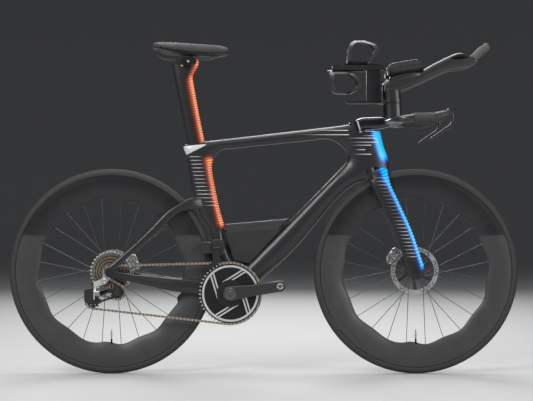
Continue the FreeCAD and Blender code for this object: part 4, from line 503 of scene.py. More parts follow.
# Brake rotors: a ground steel track riveted to a black carrier, drawn onto the hub splines
# by a notched lock ring.
TRACK_FADE = 0.0012
TURNING_SCALE = 2600.0


def rotor_finish(name, hub_x, track):
    material, place = new_finish(name)
    x, _, z = axes(place)
    radius, _ = polar(x, z, hub_x, AXLE_HEIGHT)
    rings = grain(radius.node("CombineXYZ", X=radius), TURNING_SCALE, 2.0)
    steel = blend(rings, (0.38, 0.38, 0.385, 1), (0.74, 0.74, 0.74, 1))
    colour = blend(ease(radius, track - TRACK_FADE, track), (0.07, 0.07, 0.073, 1), steel)
    return close_finish(material, place, colour, 0.26 + 0.14 * rings, rings, 0.00003, Metallic=0.75)


def lofted(name, loops, ring=False):
    """Closed mesh over loops of points: capped at both ends, or joined into a ring."""
    made = bmesh.new()
    rows = [[made.verts.new(spot) for spot in loop] for loop in loops]
    total = len(rows[0])
    pairs = list(zip(rows, rows[1:])) + ([(rows[-1], rows[0])] if ring else [])
    for first, second in pairs:
        for k in range(total):
            made.faces.new((first[k], first[(k + 1) % total], second[(k + 1) % total], second[k]))
    if not ring:
        made.faces.new(rows[0][::-1])
        made.faces.new(rows[-1])
    bmesh.ops.recalc_face_normals(made, faces=made.faces)
    mesh = bpy.data.meshes.new(name)
    made.to_mesh(mesh)
    made.free()
    piece = bpy.data.objects.new(name, mesh)
    bpy.context.scene.collection.objects.link(piece)
    return piece


def turned(name, centre, axis, profile, ring=False, steps=72):
    """Turned piece from (radius, out) corners; a third entry shapes that corner by angle."""
    axis = Vector(axis)
    across = axis.orthogonal().normalized()
    up = axis.cross(across)
    loops = []
    for radius, out, *shape in profile:
        loop = []
        for k in range(steps):
            angle = 2 * math.pi * k / steps
            reach = radius * (shape[0](angle) if shape else 1)
            spoke = across * math.cos(angle) + up * math.sin(angle)
            loop.append(Vector(centre) + spoke * reach + axis * out)
        loops.append(loop)
    return lofted(name, loops, ring)


CRISP_EDGE = math.radians(32)


def fitted(piece, material, body):
    """Finishes a rigid piece: crisp edges, a material, and the body that carries it."""
    for face in piece.data.polygons:
        face.use_smooth = True
    piece.data.set_sharp_from_angle(angle=CRISP_EDGE)
    piece.data.materials.append(material)
    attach(piece, body)


NOTCHES = 16
NOTCH_ROOT = 0.92
NOTCH_SHARE = 0.2


def notched(angle):
    """Even notches round an edge."""
    return NOTCH_ROOT if math.sin(NOTCHES * angle) > NOTCH_SHARE else 1.0


LOCK_RING = [
    (0.0150, 0.0),
    (0.0200, 0.0),
    (0.0204, 0.0005, notched),
    (0.0204, 0.0022, notched),
    (0.0198, 0.0028, notched),
    (0.0165, 0.0028),
    (0.0150, 0.0020),
]
for wheel, hub_x, track in (("front", FRONT_AXLE_X, 0.065), ("rear", REAR_AXLE_X, 0.055)):
    rotor = wheel + "_rotor"
    dress(rotor_finish(rotor + "_steel", hub_x, track), rotor)
    seat = (hub_x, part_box(rotor)[1][1], AXLE_HEIGHT)
    lock = turned(wheel + "_lock_ring", seat, (0, 1, 0), LOCK_RING, ring=True, steps=160)
    fitted(lock, anodised, wheel + "_wheel")

# Brake calipers: two forged halves bolted together round the rotor and onto the flat
# mounts of fork and chainstay. Bright anodised, with darker machined pockets.
CALIPER_CELLS = 95.0
CALIPER_POCKET = (0.22, 0.12)


def caliper_finish():
    material, place = new_finish("caliper_silver")
    cells = place.node("TexVoronoi", {"feature": "DISTANCE_TO_EDGE"}, Vector=place, Scale=CALIPER_CELLS)
    pocket = ease(cells, *CALIPER_POCKET)
    colour = blend(grain(place, 160), (0.5, 0.5, 0.505, 1), (0.82, 0.82, 0.82, 1))
    colour = blend(pocket * 0.75, colour, (0.05, 0.05, 0.053, 1))
    return close_finish(material, place, colour, 0.3 + 0.15 * pocket, 1 - pocket, 0.0006, Metallic=0.9)


dress(caliper_finish(), "front_caliper", "rear_caliper")

# Bottom bracket cups and spindle: black alloy cups screwed into the shell, with the
# hollow spindle and its mounting disc turning in their bearings.
dress(anodised, "bottom_bracket_cups", "crank_spindle")

# Crank arms: hollow carbon mouldings with a faint weave under satin lacquer. An alloy cap
# with a hexagon socket closes the axle, and a steel bush lines each pedal eye.
TWILL_PITCH = 0.004
TWILL_WIDTH = 0.002


def weave_finish(name, dark, light, roughness, coat=0.2):
    """Bare moulded carbon: a faint twill under a thin coat."""
    material, place = new_finish(name)
    x, y, z = axes(place)
    warp = dashes(x + z, TWILL_PITCH, TWILL_WIDTH)
    weft = dashes(x - z + y, TWILL_PITCH, TWILL_WIDTH)
    colour = blend(0.5 * warp + 0.35 * weft * grain(place, 30), dark, light)
    rough = roughness + 0.05 * warp + 0.06 * grain(place, 40)
    return close_finish(
        material, place, colour, rough, warp + weft, 0.00003, Coat_Weight=coat, Coat_Roughness=0.15
    )


def hexagon(angle):
    """Outline of a hexagon socket, 1 at its corners."""
    return math.cos(math.pi / 6) / math.cos(angle % (math.pi / 3) - math.pi / 6)


CRANK_CAP = [
    (0.0052, 0.0005, hexagon),
    (0.0052, 0.0027, hexagon),
    (0.0068, 0.0031),
    (0.0122, 0.0031),
    (0.0132, 0.0023),
    (0.0132, 0.0012),
    (0.0150, 0.0010),
    (0.0186, 0.0010),
    (0.0196, 0.0),
]
PEDAL_BUSH = [
    (0.0072, 0.0),
    (0.0072, 0.0007),
    (0.0078, 0.0010),
    (0.0103, 0.0010),
    (0.0109, 0.0005),
    (0.0109, 0.0),
]
HANDS = (("right", -1), ("left", 1))
bare_carbon = weave_finish("bare_carbon", (0.016, 0.016, 0.0175, 1), (0.03, 0.03, 0.032, 1), 0.32)
cap_grey = metal_finish("cap_grey", (0.09, 0.09, 0.094, 1), (0.2, 0.2, 0.205, 1), 0.3, 0.8)
bright_steel = metal_finish("bright_steel", (0.5, 0.5, 0.505, 1), (0.8, 0.8, 0.8, 1), 0.28, 1.0)
dress(bare_carbon, "crank_arm_right", "crank_arm_left")
pedal_eyes = {mount["name"]: mount["pos_m"] for mount in frame["record"]["mounts"]}
for hand, side in HANDS:
    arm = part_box("crank_arm_" + hand)
    face = arm[0][1] if side < 0 else arm[1][1]
    axle = (BOTTOM_BRACKET[0], face, BOTTOM_BRACKET[1])
    cap = turned("crank_cap_" + hand, axle, (0, side, 0), CRANK_CAP)
    fitted(cap, cap_grey, "crankset")
    eye = pedal_eyes["pedal_thread_" + hand]
    bush = turned("pedal_bush_" + hand, (eye[0], face, eye[2]), (0, side, 0), PEDAL_BUSH, ring=True)
    fitted(bush, bright_steel, "crankset")

# Chainrings: each is milled from alloy plate and anodised black. The twin bars and the inner
# rim of the outer ring were skimmed afterwards, so their faces are bright, and a thin
# pocketed web closes the space between the bars.
SKIMMED_FACE = (-0.0491, -0.0495)
BAR_FOOT = (0.0448, 0.0452)
RIM_INNER = (0.0868, 0.0872)
RIM_OUTER = (0.0938, 0.0934)
TOOTH_FOOT = (0.0972, 0.0984)


def chainring_finish():
    material, place = new_finish("chainring_skimmed")
    x, y, z = axes(place)
    radius, _ = polar(x, z, *BOTTOM_BRACKET)
    face = ease(y, *SKIMMED_FACE)
    rim = ease(radius, *RIM_INNER) * ease(radius, *RIM_OUTER)
    bars = ease(radius, *BAR_FOOT) * ease(radius, *RIM_INNER[::-1])
    bright = face * (rim + bars)
    teeth = ease(radius, *TOOTH_FOOT)
    colour = blend(bright, (0.016, 0.016, 0.018, 1), (0.78, 0.78, 0.78, 1))
    colour = blend(teeth, colour, (0.6, 0.6, 0.6, 1))
    lines = grain(stretched(place, 1, 1, 8), 240, 3.0)
    return close_finish(material, place, colour, 0.3 + 0.15 * lines, lines, 0.00003, Metallic=0.85)


WEB_BACK = 0.0449
WEB_FRONT = 0.0463
WEB_RINGS = [0.0875, 0.0820, 0.0765, 0.0710, 0.0655, 0.0600, 0.0545, 0.0490, 0.0440]
WEB_WALL = 0.0007
WEB_POCKET = 0.0006
WEB_SLACK = 0.0001


def pocketed(piece, inner, outer):
    """Sinks a small pocket into each field of the front of the web between two radii."""
    made = bmesh.new()
    made.from_mesh(piece.data)
    front = min(face.calc_center_median().y for face in made.faces)
    fields = []
    for face in made.faces:
        middle = face.calc_center_median()
        reach = math.hypot(middle.x - BOTTOM_BRACKET[0], middle.z - BOTTOM_BRACKET[1])
        if middle.y < front + WEB_SLACK and inner < reach < outer:
            fields.append(face)
    bmesh.ops.inset_individual(made, faces=fields, thickness=WEB_WALL, depth=-WEB_POCKET)
    made.to_mesh(piece.data)
    made.free()


dress(chainring_finish(), "chainring_outer")
dress(anodised, "chainring_inner")
web_middle = (BOTTOM_BRACKET[0], 0, BOTTOM_BRACKET[1])
web_profile = [(WEB_RINGS[-1], WEB_BACK), (WEB_RINGS[0], WEB_BACK)]
web_profile += [(radius, WEB_FRONT) for radius in WEB_RINGS]
web = turned("chainring_web", web_middle, (0, -1, 0), web_profile, ring=True, steps=80)
pocketed(web, WEB_RINGS[-2], WEB_RINGS[1])
fitted(web, anodised, "crankset")

# Cassette: twelve steel sprockets on a ribbed freehub. The largest is bare and bright, and
# the smaller ones have a tan hard coating. Painted shade darkens the gaps between the sprockets, between
# their teeth and in the slots of the largest.
BARE_FROM = (0.062, 0.0635)
ROW_PITCH = 0.0104
ROW_EDGE = (0.0012, 0.0026)
TOOTH_PITCH = 0.21
TOOTH_EDGE = (0.03, 0.05)
TOOTH_SWIRL = 28.0
SLOT_MIDDLE = 0.0705
SLOT_SPACING = 0.03
SLOT_EDGE = (0.0022, 0.0014)
SLOT_PITCH = 0.26
SLOT_END = (0.085, 0.1)


def sprocket_finish():
    material, place = new_finish("sprocket_steel")
    x, _, z = axes(place)
    radius, angle = polar(x, z, REAR_AXLE_X, AXLE_HEIGHT)
    lines = grain(place, 260, 4.0)
    tan = blend(lines, (0.24, 0.19, 0.15, 1), (0.56, 0.46, 0.38, 1))
    # Painted shade: dark rings between the sprockets and dark gaps between their teeth.
    rows = ease(from_line(radius, ROW_PITCH), *ROW_EDGE)
    teeth = ease(from_line(angle + TOOTH_SWIRL * radius, TOOTH_PITCH), *TOOTH_EDGE)
    solid = 0.12 + 0.88 * rows * (0.15 + 0.85 * teeth)
    bare = blend(lines, (0.62, 0.62, 0.62, 1), (0.88, 0.88, 0.87, 1))
    # Painted shade in the slots of the largest sprocket.
    slots = ease(from_line(radius - SLOT_MIDDLE, SLOT_SPACING), *SLOT_EDGE)
    slots = slots * ease(from_line(angle, SLOT_PITCH), *SLOT_END)
    bare = blend(slots, bare, (0.05, 0.05, 0.05, 1))
    coated = blend(solid, (0.022, 0.02, 0.018, 1), tan)
    colour = blend(ease(radius, *BARE_FROM), coated, bare)
    return close_finish(material, place, colour, 0.3 + 0.15 * lines, lines, 0.00004, Metallic=0.9)


dress(sprocket_finish(), "cassette")
dress(anodised, "freehub_body")

# Chain: stamped steel plates on pins and rollers, with the same tan coating as the smaller
# sprockets, lightly oiled. One joining link closes it into a loop.
LINK_PITCH = 0.0127
WAIST_EDGE = (0.0026, 0.0012)


def chain_finish():
    material, place = new_finish("chain_tan")
    x, _, _ = axes(place)
    lines = grain(place, 300, 4.0)
    tan = blend(lines, (0.26, 0.215, 0.17, 1), (0.7, 0.6, 0.5, 1))
    waist = ease(from_line(x, LINK_PITCH), *WAIST_EDGE)
    colour = blend(waist * 0.7, tan, (0.07, 0.06, 0.05, 1))
    return close_finish(material, place, colour, 0.3 + 0.14 * lines, lines, 0.00004, Metallic=0.9)


dress(chain_finish(), "chain")

# Rear derailleur: a forged hanger in bright alloy, a two-tone knuckle with a clip-on battery,
# a grey and a black link to a moulded knuckle, and a carbon cage with two toothed pulleys.
ARM_BACK = (-0.5545, -0.5535)
ARM_FOOT = (0.2505, 0.2515)


def moulded(name, dark, light, roughness):
    """Moulded plastic with a fine spark texture."""
    material, place = new_finish(name)
    texture = grain(place, 1500, 2.0)
    tone = blend(grain(place, 18), dark, light)
    return close_finish(material, place, tone, roughness + 0.12 * grain(place, 70), texture, 0.00006)


def knuckle_finish():
    """Bright arm from the hanger to the links, with the black battery behind it."""
    material, place = new_finish("knuckle_two_tone")
    x, _, z = axes(place)
    arm = ease(x, *ARM_BACK) * ease(z, *ARM_FOOT)
    lines = grain(place, 240, 3.0)
    silver = blend(lines, (0.55, 0.55, 0.56, 1), (0.85, 0.85, 0.85, 1))
    colour = blend(arm, (0.013, 0.013, 0.014, 1), silver)
    return close_finish(material, place, colour, 0.34 + 0.14 * lines, lines, 0.00004, Metallic=0.9 * arm)


SOCKET_BOLT = [
    (0.48, 0.25, hexagon),
    (0.48, 0.85, hexagon),
    (0.58, 0.95),
    (0.88, 0.95),
    (1.0, 0.8),
    (1.0, 0.0),
]
BOLT_HEIGHT = 0.7
HANGER_SEAT = (-0.521, -0.098, 0.311)


def bolt(name, seat, axis, radius, material, body):
    """Round-headed bolt with a hexagon socket, standing on a seat."""
    profile = [(entry[0] * radius, entry[1] * radius * BOLT_HEIGHT, *entry[2:]) for entry in SOCKET_BOLT]
    fitted(turned(name, seat, axis, profile, steps=48), material, body)


moulded_black = moulded("moulded_black", (0.012, 0.012, 0.013, 1), (0.024, 0.024, 0.026, 1), 0.38)
dress(bright_steel, "derailleur_hanger")
dress(knuckle_finish(), "derailleur_knuckle")
dress(cap_grey, "derailleur_link_outer")
dress(anodised, "derailleur_link_inner")
dress(moulded_black, "derailleur_moving_knuckle", "guide_pulley", "tension_pulley")
dress(bare_carbon, "derailleur_cage")
bolt("hanger_bolt", HANGER_SEAT, (0, -1, 0), 0.0085, bright_steel, "frame_body")

# Front derailleur: a moulded motor body and battery on the seat tube, and a pressed steel
# cage on a hinge along the bike.
dress(moulded_black, "front_derailleur")
dress(
    metal_finish("cage_steel", (0.03, 0.03, 0.032, 1), (0.09, 0.09, 0.093, 1), 0.34, 0.85),
    "front_derailleur_cage",
)

# Seatpost: a carbon blade with a forward-swept head, clamped in the frame by a hidden
# wedge. Its scalloped leading edge is painted with orange light that glows by emission, and one small bolt
# shows on its side.
POST_FIRST_RIB = 0.516
POST_BACK = (-0.022, 0.0175)
POST_FOOT = (0.495, 0.515)
POST_HEAD_SWEEP = 0.028
POST_HEAD_RISE = (0.71, 0.765)
POST_DASH_WIDTH = 0.0014
POST_DASH_BACK = (-0.012, 0.012)
POST_DASH_TOP = (0.72, 0.7)
POST_BOLT_SEAT = (-0.271, -0.0102, 1.0226)


def post_glows(x, z):
    """Painted orange light along the leading edge, following the head as it sweeps forward."""
    up, ahead = tube_axes(x, z, *SEAT_TUBE)
    head = ease(up, *POST_HEAD_RISE) * POST_HEAD_SWEEP
    ember = ease(ahead - head, *POST_BACK) * ease(up, *POST_FOOT)
    return [(ribbed(ember, up, POST_FIRST_RIB, RIB_PITCH), EMBER_RAMP)]


def post_painted_highlights(x, z):
    """A faint painted highlight dash on each rib."""
    up, ahead = tube_axes(x, z, *SEAT_TUBE)
    line = dashes(up - POST_FIRST_RIB, RIB_PITCH, POST_DASH_WIDTH)
    return line * ease(ahead, *POST_DASH_BACK) * ease(up, *POST_DASH_TOP) * 0.1


dress(satin_paint("seatpost_paint", post_glows, post_painted_highlights), "seatpost")
brass = metal_finish("bolt_brass", (0.5, 0.36, 0.2, 1), (0.78, 0.62, 0.42, 1), 0.32, 1.0)
bolt("post_bolt", POST_BOLT_SEAT, (0, -1, 0), 0.0045, brass, "seat")

# Saddle clamp and rails: a two-part alloy cradle drawn together by one cross bolt, round
# two oval rails.
CROSS_BOLT_RISE = 0.0135
dress(
    metal_finish("cradle_grey", (0.02, 0.02, 0.022, 1), (0.05, 0.05, 0.053, 1), 0.32, 0.75),
    "saddle_clamp",
)
dress(
    metal_finish("rail_grey", (0.05, 0.05, 0.053, 1), (0.12, 0.12, 0.123, 1), 0.34, 0.8),
    "saddle_rails",
)
clamp_low, clamp_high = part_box("saddle_clamp")
for hand, side in HANDS:
    face = clamp_low[1] if side < 0 else clamp_high[1]
    seat = ((clamp_low[0] + clamp_high[0]) / 2, face, clamp_low[2] + CROSS_BOLT_RISE)
    bolt("cradle_bolt_" + hand, seat, (0, side, 0), 0.0042, bright_steel, "seat")

# Saddle shell: a stiff carbon-filled moulding under the pad. The rails are sprung into
# sockets at its nose and tail.
dress(moulded_black, "saddle_shell")

# Saddle pad: a foam cushion under a thin stretched cover with a fine raised hatch.
# It is glued to the shell along its lower edge.
SADDLE_BACK = -0.370
SADDLE_TOP = 1.098
SADDLE_HALF = 0.071
SADDLE_SIDES = 44
SADDLE_CORE = 0.985
SADDLE_SINK = 0.0012
CORE_CLEAR = 0.0004
COVER_CLEAR = 0.0003
# In millimetres: run from the back, share of the half width, top and bottom of the pad.
SADDLE_STATIONS = [
    (0, 0.4, -9, -18),
    (4, 0.68, -4, -22),
    (20, 0.93, -1, -29),
    (50, 1.0, -2, -39),
    (90, 0.87, -3.5, -44),
    (130, 0.62, -5.5, -47),
    (170, 0.465, -8, -49),
    (210, 0.39, -10.5, -49),
    (238, 0.35, -13, -46),
    (250, 0.31, -15.5, -44),
    (254, 0.25, -19, -41),
]
# In millimetres: place along the bike, and height of the lower edge under the top.
SADDLE_EDGE = [
    (-380, -17),
    (-350, -22),
    (-320, -29),
    (-280, -34),
    (-240, -36),
    (-200, -38),
    (-160, -38),
    (-130, -35),
    (-105, -34),
]


def saddle_edge(x):
    """Height of the line where the pad meets the shell."""
    for (x0, z0), (x1, z1) in zip(SADDLE_EDGE, SADDLE_EDGE[1:]):
        if x <= x1 / 1000:
            part = (x * 1000 - x0) / (x1 - x0)
            return SADDLE_TOP + (z0 + (z1 - z0) * part) / 1000
    return SADDLE_TOP + SADDLE_EDGE[-1][1] / 1000


def applied(piece):
    """Puts the modifiers of a piece into its mesh."""
    graph = bpy.context.evaluated_depsgraph_get()
    mesh = bpy.data.meshes.new_from_object(piece.evaluated_get(graph))
    piece.modifiers.clear()
    piece.data = mesh


SWELL_PRESSURE = 4.0
SWELL_STEPS = 14


def inflated(piece, voxel, limit, seat):
    """Foam form: swollen by pressure as cloth, held within a limit and on its seat."""
    remesh = piece.modifiers.new("even", "REMESH")
    remesh.mode, remesh.voxel_size = "VOXEL", voxel
    applied(piece)
    rest = [v.co.copy() for v in piece.data.vertices]
    cloth = piece.modifiers.new("swell", "CLOTH")
    cloth.settings.use_pressure = True
    cloth.settings.uniform_pressure_force = SWELL_PRESSURE
    cloth.settings.effector_weights.gravity = 0.0
    scene = bpy.context.scene
    for step in range(1, SWELL_STEPS + 1):
        scene.frame_set(step)
    applied(piece)
    scene.frame_set(1)
    for vertex, start in zip(piece.data.vertices, rest):
        move = vertex.co - start
        if move.length > limit:
            vertex.co = start + move * (limit / move.length)
        vertex.co.z = max(vertex.co.z, seat(vertex.co))
    soften = piece.modifiers.new("soften", "SMOOTH")
    soften.factor, soften.iterations = 0.5, 3
    smooth = piece.modifiers.new("smooth", "SUBSURF")
    smooth.levels = smooth.render_levels = 1
    applied(piece)
    for face in piece.data.polygons:
        face.use_smooth = True
    return piece


SQUARENESS = 2.4


def squared(share):
    """Sine or cosine of a rounded-square outline."""
    return math.copysign(abs(share) ** (2 / SQUARENESS), share)


saddle_loops = []
for run, share, top, bottom in SADDLE_STATIONS:
    x = SADDLE_BACK + run / 1000
    centre, half = (top + bottom) / 2000, (top - bottom) / 2000
    loop = []
    for k in range(SADDLE_SIDES):
        angle = 2 * math.pi * k / SADDLE_SIDES
        y = SADDLE_HALF * share * SADDLE_CORE * squared(math.cos(angle))
        z = SADDLE_TOP + centre + half * squared(math.sin(angle)) - SADDLE_SINK
        loop.append((x, y, max(z, saddle_edge(x) + CORE_CLEAR)))
    saddle_loops.append(loop)
saddle_pad = lofted("saddle_cushion", saddle_loops)
inflated(saddle_pad, voxel=0.004, limit=0.003, seat=lambda spot: saddle_edge(spot.x) + COVER_CLEAR)


HATCH_PITCH = 0.0125


def hatch_finish(name, dark, light):
    """Thin cover with two crossing sets of raised lines."""
    material, place = new_finish(name)
    x, y, z = axes(place)
    first = dashes(x + 0.8 * y + 1.2 * z, HATCH_PITCH, width=0.0046)
    second = dashes(x - 0.8 * y - 1.2 * z, HATCH_PITCH, width=0.0036)
    hatch = first * (1 - 0.6 * second)
    leather = grain(place, 900, 2.0)
    colour = blend(0.75 * hatch + 0.25 * leather, dark, light)
    height = hatch + 0.25 * leather
    rough = 0.6 + 0.14 * leather - 0.12 * hatch
    return close_finish(material, place, colour, rough, height, 0.0003, Specular_IOR_Level=0.3)


saddle_cover = hatch_finish("saddle_cover", (0.005, 0.005, 0.0055, 1), (0.1, 0.1, 0.103, 1))
saddle_pad.data.materials.append(saddle_cover)
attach(saddle_pad, "seat")
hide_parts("saddle_pad")

# Storage box: a thin moulded case in the corner of the main triangle, with a grooved lid
# that lifts off. A dark sheet of painted shade fills the joint between the case and the tubes.
SHADE_SHEET_HALF = 0.008
SHADE_SHEET_PATH = [
    ((-0.108, 0.470), (-0.142, 0.482)),
    ((-0.100, 0.440), (-0.134, 0.445)),
    ((-0.090, 0.408), (-0.122, 0.405)),
    ((-0.082, 0.388), (-0.108, 0.372)),
    ((-0.068, 0.384), (-0.080, 0.358)),
    ((-0.050, 0.384), (-0.042, 0.352)),
    ((-0.034, 0.396), (-0.010, 0.372)),
    ((0.010, 0.444), (0.034, 0.420)),
    ((0.048, 0.486), (0.072, 0.462)),
    ((0.060, 0.500), (0.086, 0.486)),
]
dress(moulded_black, "storage_box")
dress(moulded("lid_grey", (0.018, 0.018, 0.0195, 1), (0.032, 0.032, 0.034, 1), 0.46), "storage_lid")
shade_sheet_loops = []
for inner, outer in SHADE_SHEET_PATH:
    corners = ((inner, -1), (inner, 1), (outer, 1), (outer, -1))
    shade_sheet_loops.append([(spot[0], side * SHADE_SHEET_HALF, spot[1]) for spot, side in corners])
# Painted shade: a dark sheet standing where the joint would lie in shade.
painted_shade_black = moulded("painted_shade_black", (0.006, 0.006, 0.0065, 1), (0.013, 0.013, 0.0135, 1), 0.62)
fitted(lofted("box_shade_sheet", shade_sheet_loops), painted_shade_black, "frame_body")

# Stem and base bar: the stem is a gloss lacquered alloy wedge on the steerer, and the
# carbon base bar is clamped across its nose.


def lacquer(name, colour, roughness):
    """Gloss lacquer with slight orange peel."""
    material, place = new_finish(name)
    peel = grain(place, 420, 1.0)
    tone = blend(grain(place, 14), colour, tuple(1.7 * part for part in colour[:3]) + (1,))
    rough = roughness + 0.05 * grain(place, 90)
    return close_finish(material, place, tone, rough, peel, 0.00004, Coat_Weight=0.6)


gloss_black = lacquer("gloss_black", (0.008, 0.008, 0.0095, 1), 0.18)
dress(gloss_black, "stem")
bar_carbon = weave_finish("bar_carbon", (0.012, 0.012, 0.0135, 1), (0.022, 0.022, 0.024, 1), 0.24, 0.4)
dress(bar_carbon, "base_bar")

# Grips and brake hoods: soft rubber sleeves, finely dotted, pushed over the ends of the bar,
# and moulded hoods plugged in ahead of them to carry the brake levers.
DOT_SCALE = 420.0


def grip_finish(name, dark, light):
    """Rubber with a fine raised dot all over."""
    material, place = new_finish(name)
    dots = place.node("TexVoronoi", Vector=place, Scale=DOT_SCALE)
    colour = blend(dots, dark, light)
    return close_finish(material, place, colour, 0.66 + 0.14 * grain(place, 200), dots, 0.0005)


grip_rubber = grip_finish("grip_rubber", (0.014, 0.014, 0.015, 1), (0.05, 0.05, 0.052, 1))
dress(grip_rubber, "bar_grips")
dress(moulded("hood_black", (0.014, 0.014, 0.015, 1), (0.026, 0.026, 0.028, 1), 0.36), "brake_hoods")

# Brake levers: forged alloy blades, brushed and then anodised black. Each one swings on a
# pin through its hood.
dress(
    metal_finish("lever_black", (0.028, 0.028, 0.03, 1), (0.07, 0.07, 0.074, 1), 0.3, 0.7),
    "brake_lever_right",
    "brake_lever_left",
)

# Risers: hollow carbon columns in black lacquer, bolted to the base bar. Shallow grooves
# mark the height at which the extensions are set.
GROOVE_PITCH = 0.0075
GROOVE_WIDTH = 0.0018
GROOVE_FOOT = (0.885, 0.89)
GROOVE_TOP = (0.955, 0.95)


def riser_finish():
    material, place = new_finish("riser_lacquer")
    _, _, z = axes(place)
    grooves = dashes(z, GROOVE_PITCH, GROOVE_WIDTH) * ease(z, *GROOVE_FOOT) * ease(z, *GROOVE_TOP)
    colour = blend(grain(place, 14), (0.008, 0.008, 0.0095, 1), (0.014, 0.014, 0.016, 1))
    colour = blend(grooves, colour, (0.003, 0.003, 0.0035, 1))
    rough = 0.34 + 0.08 * grain(place, 90) + 0.2 * grooves
    return close_finish(
        material, place, colour, rough, 1 - grooves, 0.0006, Coat_Weight=0.3, Coat_Roughness=0.25
    )


dress(riser_finish(), "riser_columns")

# Extensions: carbon arm rests that run forward to the hands. A dark, polished hollow for
# the thumb lies on each side near the front.
WELL_MIDDLE = (0.648, 1.0465)
WELL_HALF = (0.036, 0.0095)
WELL_SLOPE = 0.12
WELL_EDGE = (1.08, 0.9)


def extension_finish():
    material, place = new_finish("extension_carbon")
    x, _, z = axes(place)
    across = x - WELL_MIDDLE[0]
    up = (z - WELL_MIDDLE[1] - WELL_SLOPE * across) / WELL_HALF[1]
    across = across / WELL_HALF[0]
    well = ease(across * across + up * up, *WELL_EDGE)
    warp = dashes(x + z, TWILL_PITCH, TWILL_WIDTH)
    colour = blend(0.5 * warp * grain(place, 30), (0.016, 0.016, 0.0175, 1), (0.034, 0.034, 0.036, 1))
    colour = blend(well, colour, (0.004, 0.004, 0.0046, 1))
    rough = 0.3 + 0.06 * grain(place, 40) - 0.22 * well
    return close_finish(material, place, colour, rough, warp, 0.00003, Coat_Weight=0.3)


dress(extension_finish(), "extensions")

# Tip grips and shift buttons: grey dotted rubber over the ends of the extensions, with one
# plastic push button in each end.
dress(grip_finish("tip_rubber", (0.05, 0.047, 0.045, 1), (0.11, 0.104, 0.099, 1)), "extension_grips")
dress(moulded_black, "shift_button_right", "shift_button_left")

# Arm cups: thin carbon troughs with rounded corners, each bonded to a low cradle that is
# moulded on the top of the extension.
CUP_AXIS = Vector((0.460, 0, 1.034))
CUP_TILT = math.radians(10)
CUP_RUN = Vector((math.cos(CUP_TILT), 0, math.sin(CUP_TILT)))
CUP_UP = Vector((-math.sin(CUP_TILT), 0, math.cos(CUP_TILT)))
CUP_SPREAD = 0.060
CUP_OUTER = 0.044
CUP_INNER = 0.041
CUP_BACK = -0.060
CUP_FRONT = 0.058
CUP_CORNER = 0.030
CUP_LIP = math.radians(82)
CUP_END_LIP = 0.35
ARC_STEPS = 28
RUN_STEPS = 40
CRADLE = [
    (-0.058, 0.012, -0.008),
    (-0.055, 0.017, -0.002),
    (-0.030, 0.019, 0.004),
    (0.000, 0.019, 0.006),
    (0.030, 0.017, 0.004),
    (0.046, 0.013, 0.000),
    (0.049, 0.008, -0.004),
]
CRADLE_DEPTH = 0.024
CRADLE_SIDES = 32


def trough_loop(middle, along, outer, inner, lip):
    """Section of a trough: an outer arc, and an inner arc back."""
    loop = []
    for radius, order in ((outer, 1), (inner, -1)):
        for k in list(range(ARC_STEPS + 1))[::order]:
            turn = -math.pi / 2 + lip * (2 * k / ARC_STEPS - 1)
            reach = Vector((0, math.cos(turn) * radius, 0)) + CUP_UP * (math.sin(turn) * radius)
            loop.append(middle + CUP_RUN * along + reach)
    return loop


def lip_at(along, full):
    """Half-angle of a trough, drawn in round its corners, which are tighter at the back."""
    back = min(1.0, (along - CUP_BACK) / (0.5 * CUP_CORNER))
    fore = min(1.0, (CUP_FRONT - along) / CUP_CORNER)
    rounded = math.sqrt(1 - (1 - back) ** 2) * math.sqrt(1 - (1 - fore) ** 2)
    return full * (CUP_END_LIP + (1 - CUP_END_LIP) * rounded)


def cup_middle(side):
    """Middle of the cup on one side of the bike."""
    return CUP_AXIS + Vector((0, side * CUP_SPREAD, 0))


def trough(name, side, outer, inner, lip, shrink):
    """A trough under one forearm, with its corners rounded off."""
    loops = []
    for k in range(RUN_STEPS + 1):
        share = (1 - math.cos(math.pi * k / RUN_STEPS)) / 2
        along = CUP_BACK + shrink + (CUP_FRONT - CUP_BACK - 2 * shrink) * share
        loops.append(trough_loop(cup_middle(side), along, outer, inner, lip_at(along, lip)))
    return lofted(name, loops)


def cradle(name, side):
    """Low saddle between a cup and its extension: a lofted block with soft corners."""
    middle = cup_middle(side) - CUP_UP * CUP_OUTER
    loops = []
    for along, half, crown in CRADLE:
        high = (crown + CRADLE_DEPTH) / 2
        loop = []
        for k in range(CRADLE_SIDES):
            angle = 2 * math.pi * k / CRADLE_SIDES
            reach = Vector((0, half * squared(math.cos(angle)), 0))
            rise = CUP_UP * (crown - high + high * squared(math.sin(angle)))
            loop.append(middle + CUP_RUN * along + reach + rise)
        loops.append(loop)
    return lofted(name, loops)


cup_carbon = weave_finish("cup_carbon", (0.013, 0.013, 0.0145, 1), (0.026, 0.026, 0.028, 1), 0.24, 0.4)
for hand, side in HANDS:
    shell = trough("arm_rest_" + hand, side, CUP_OUTER, CUP_INNER, CUP_LIP, 0.0)
    foot = cradle("arm_rest_foot_" + hand, side)
    for piece in (shell, foot):
        fitted(piece, cup_carbon, "steering")
        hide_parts("arm_cups")

# Arm pads: moulded foam strips with a knitted face, cut a little smaller than the carbon
# cups and pressed into them.
PAD_OUTER = 0.0402
PAD_INNER = 0.0342
PAD_LIP = CUP_LIP - 0.09
PAD_SHRINK = 0.004
PAD_LIMIT = 0.0405
KNIT_PITCH = 0.0021
KNIT_WIDTH = 0.0008


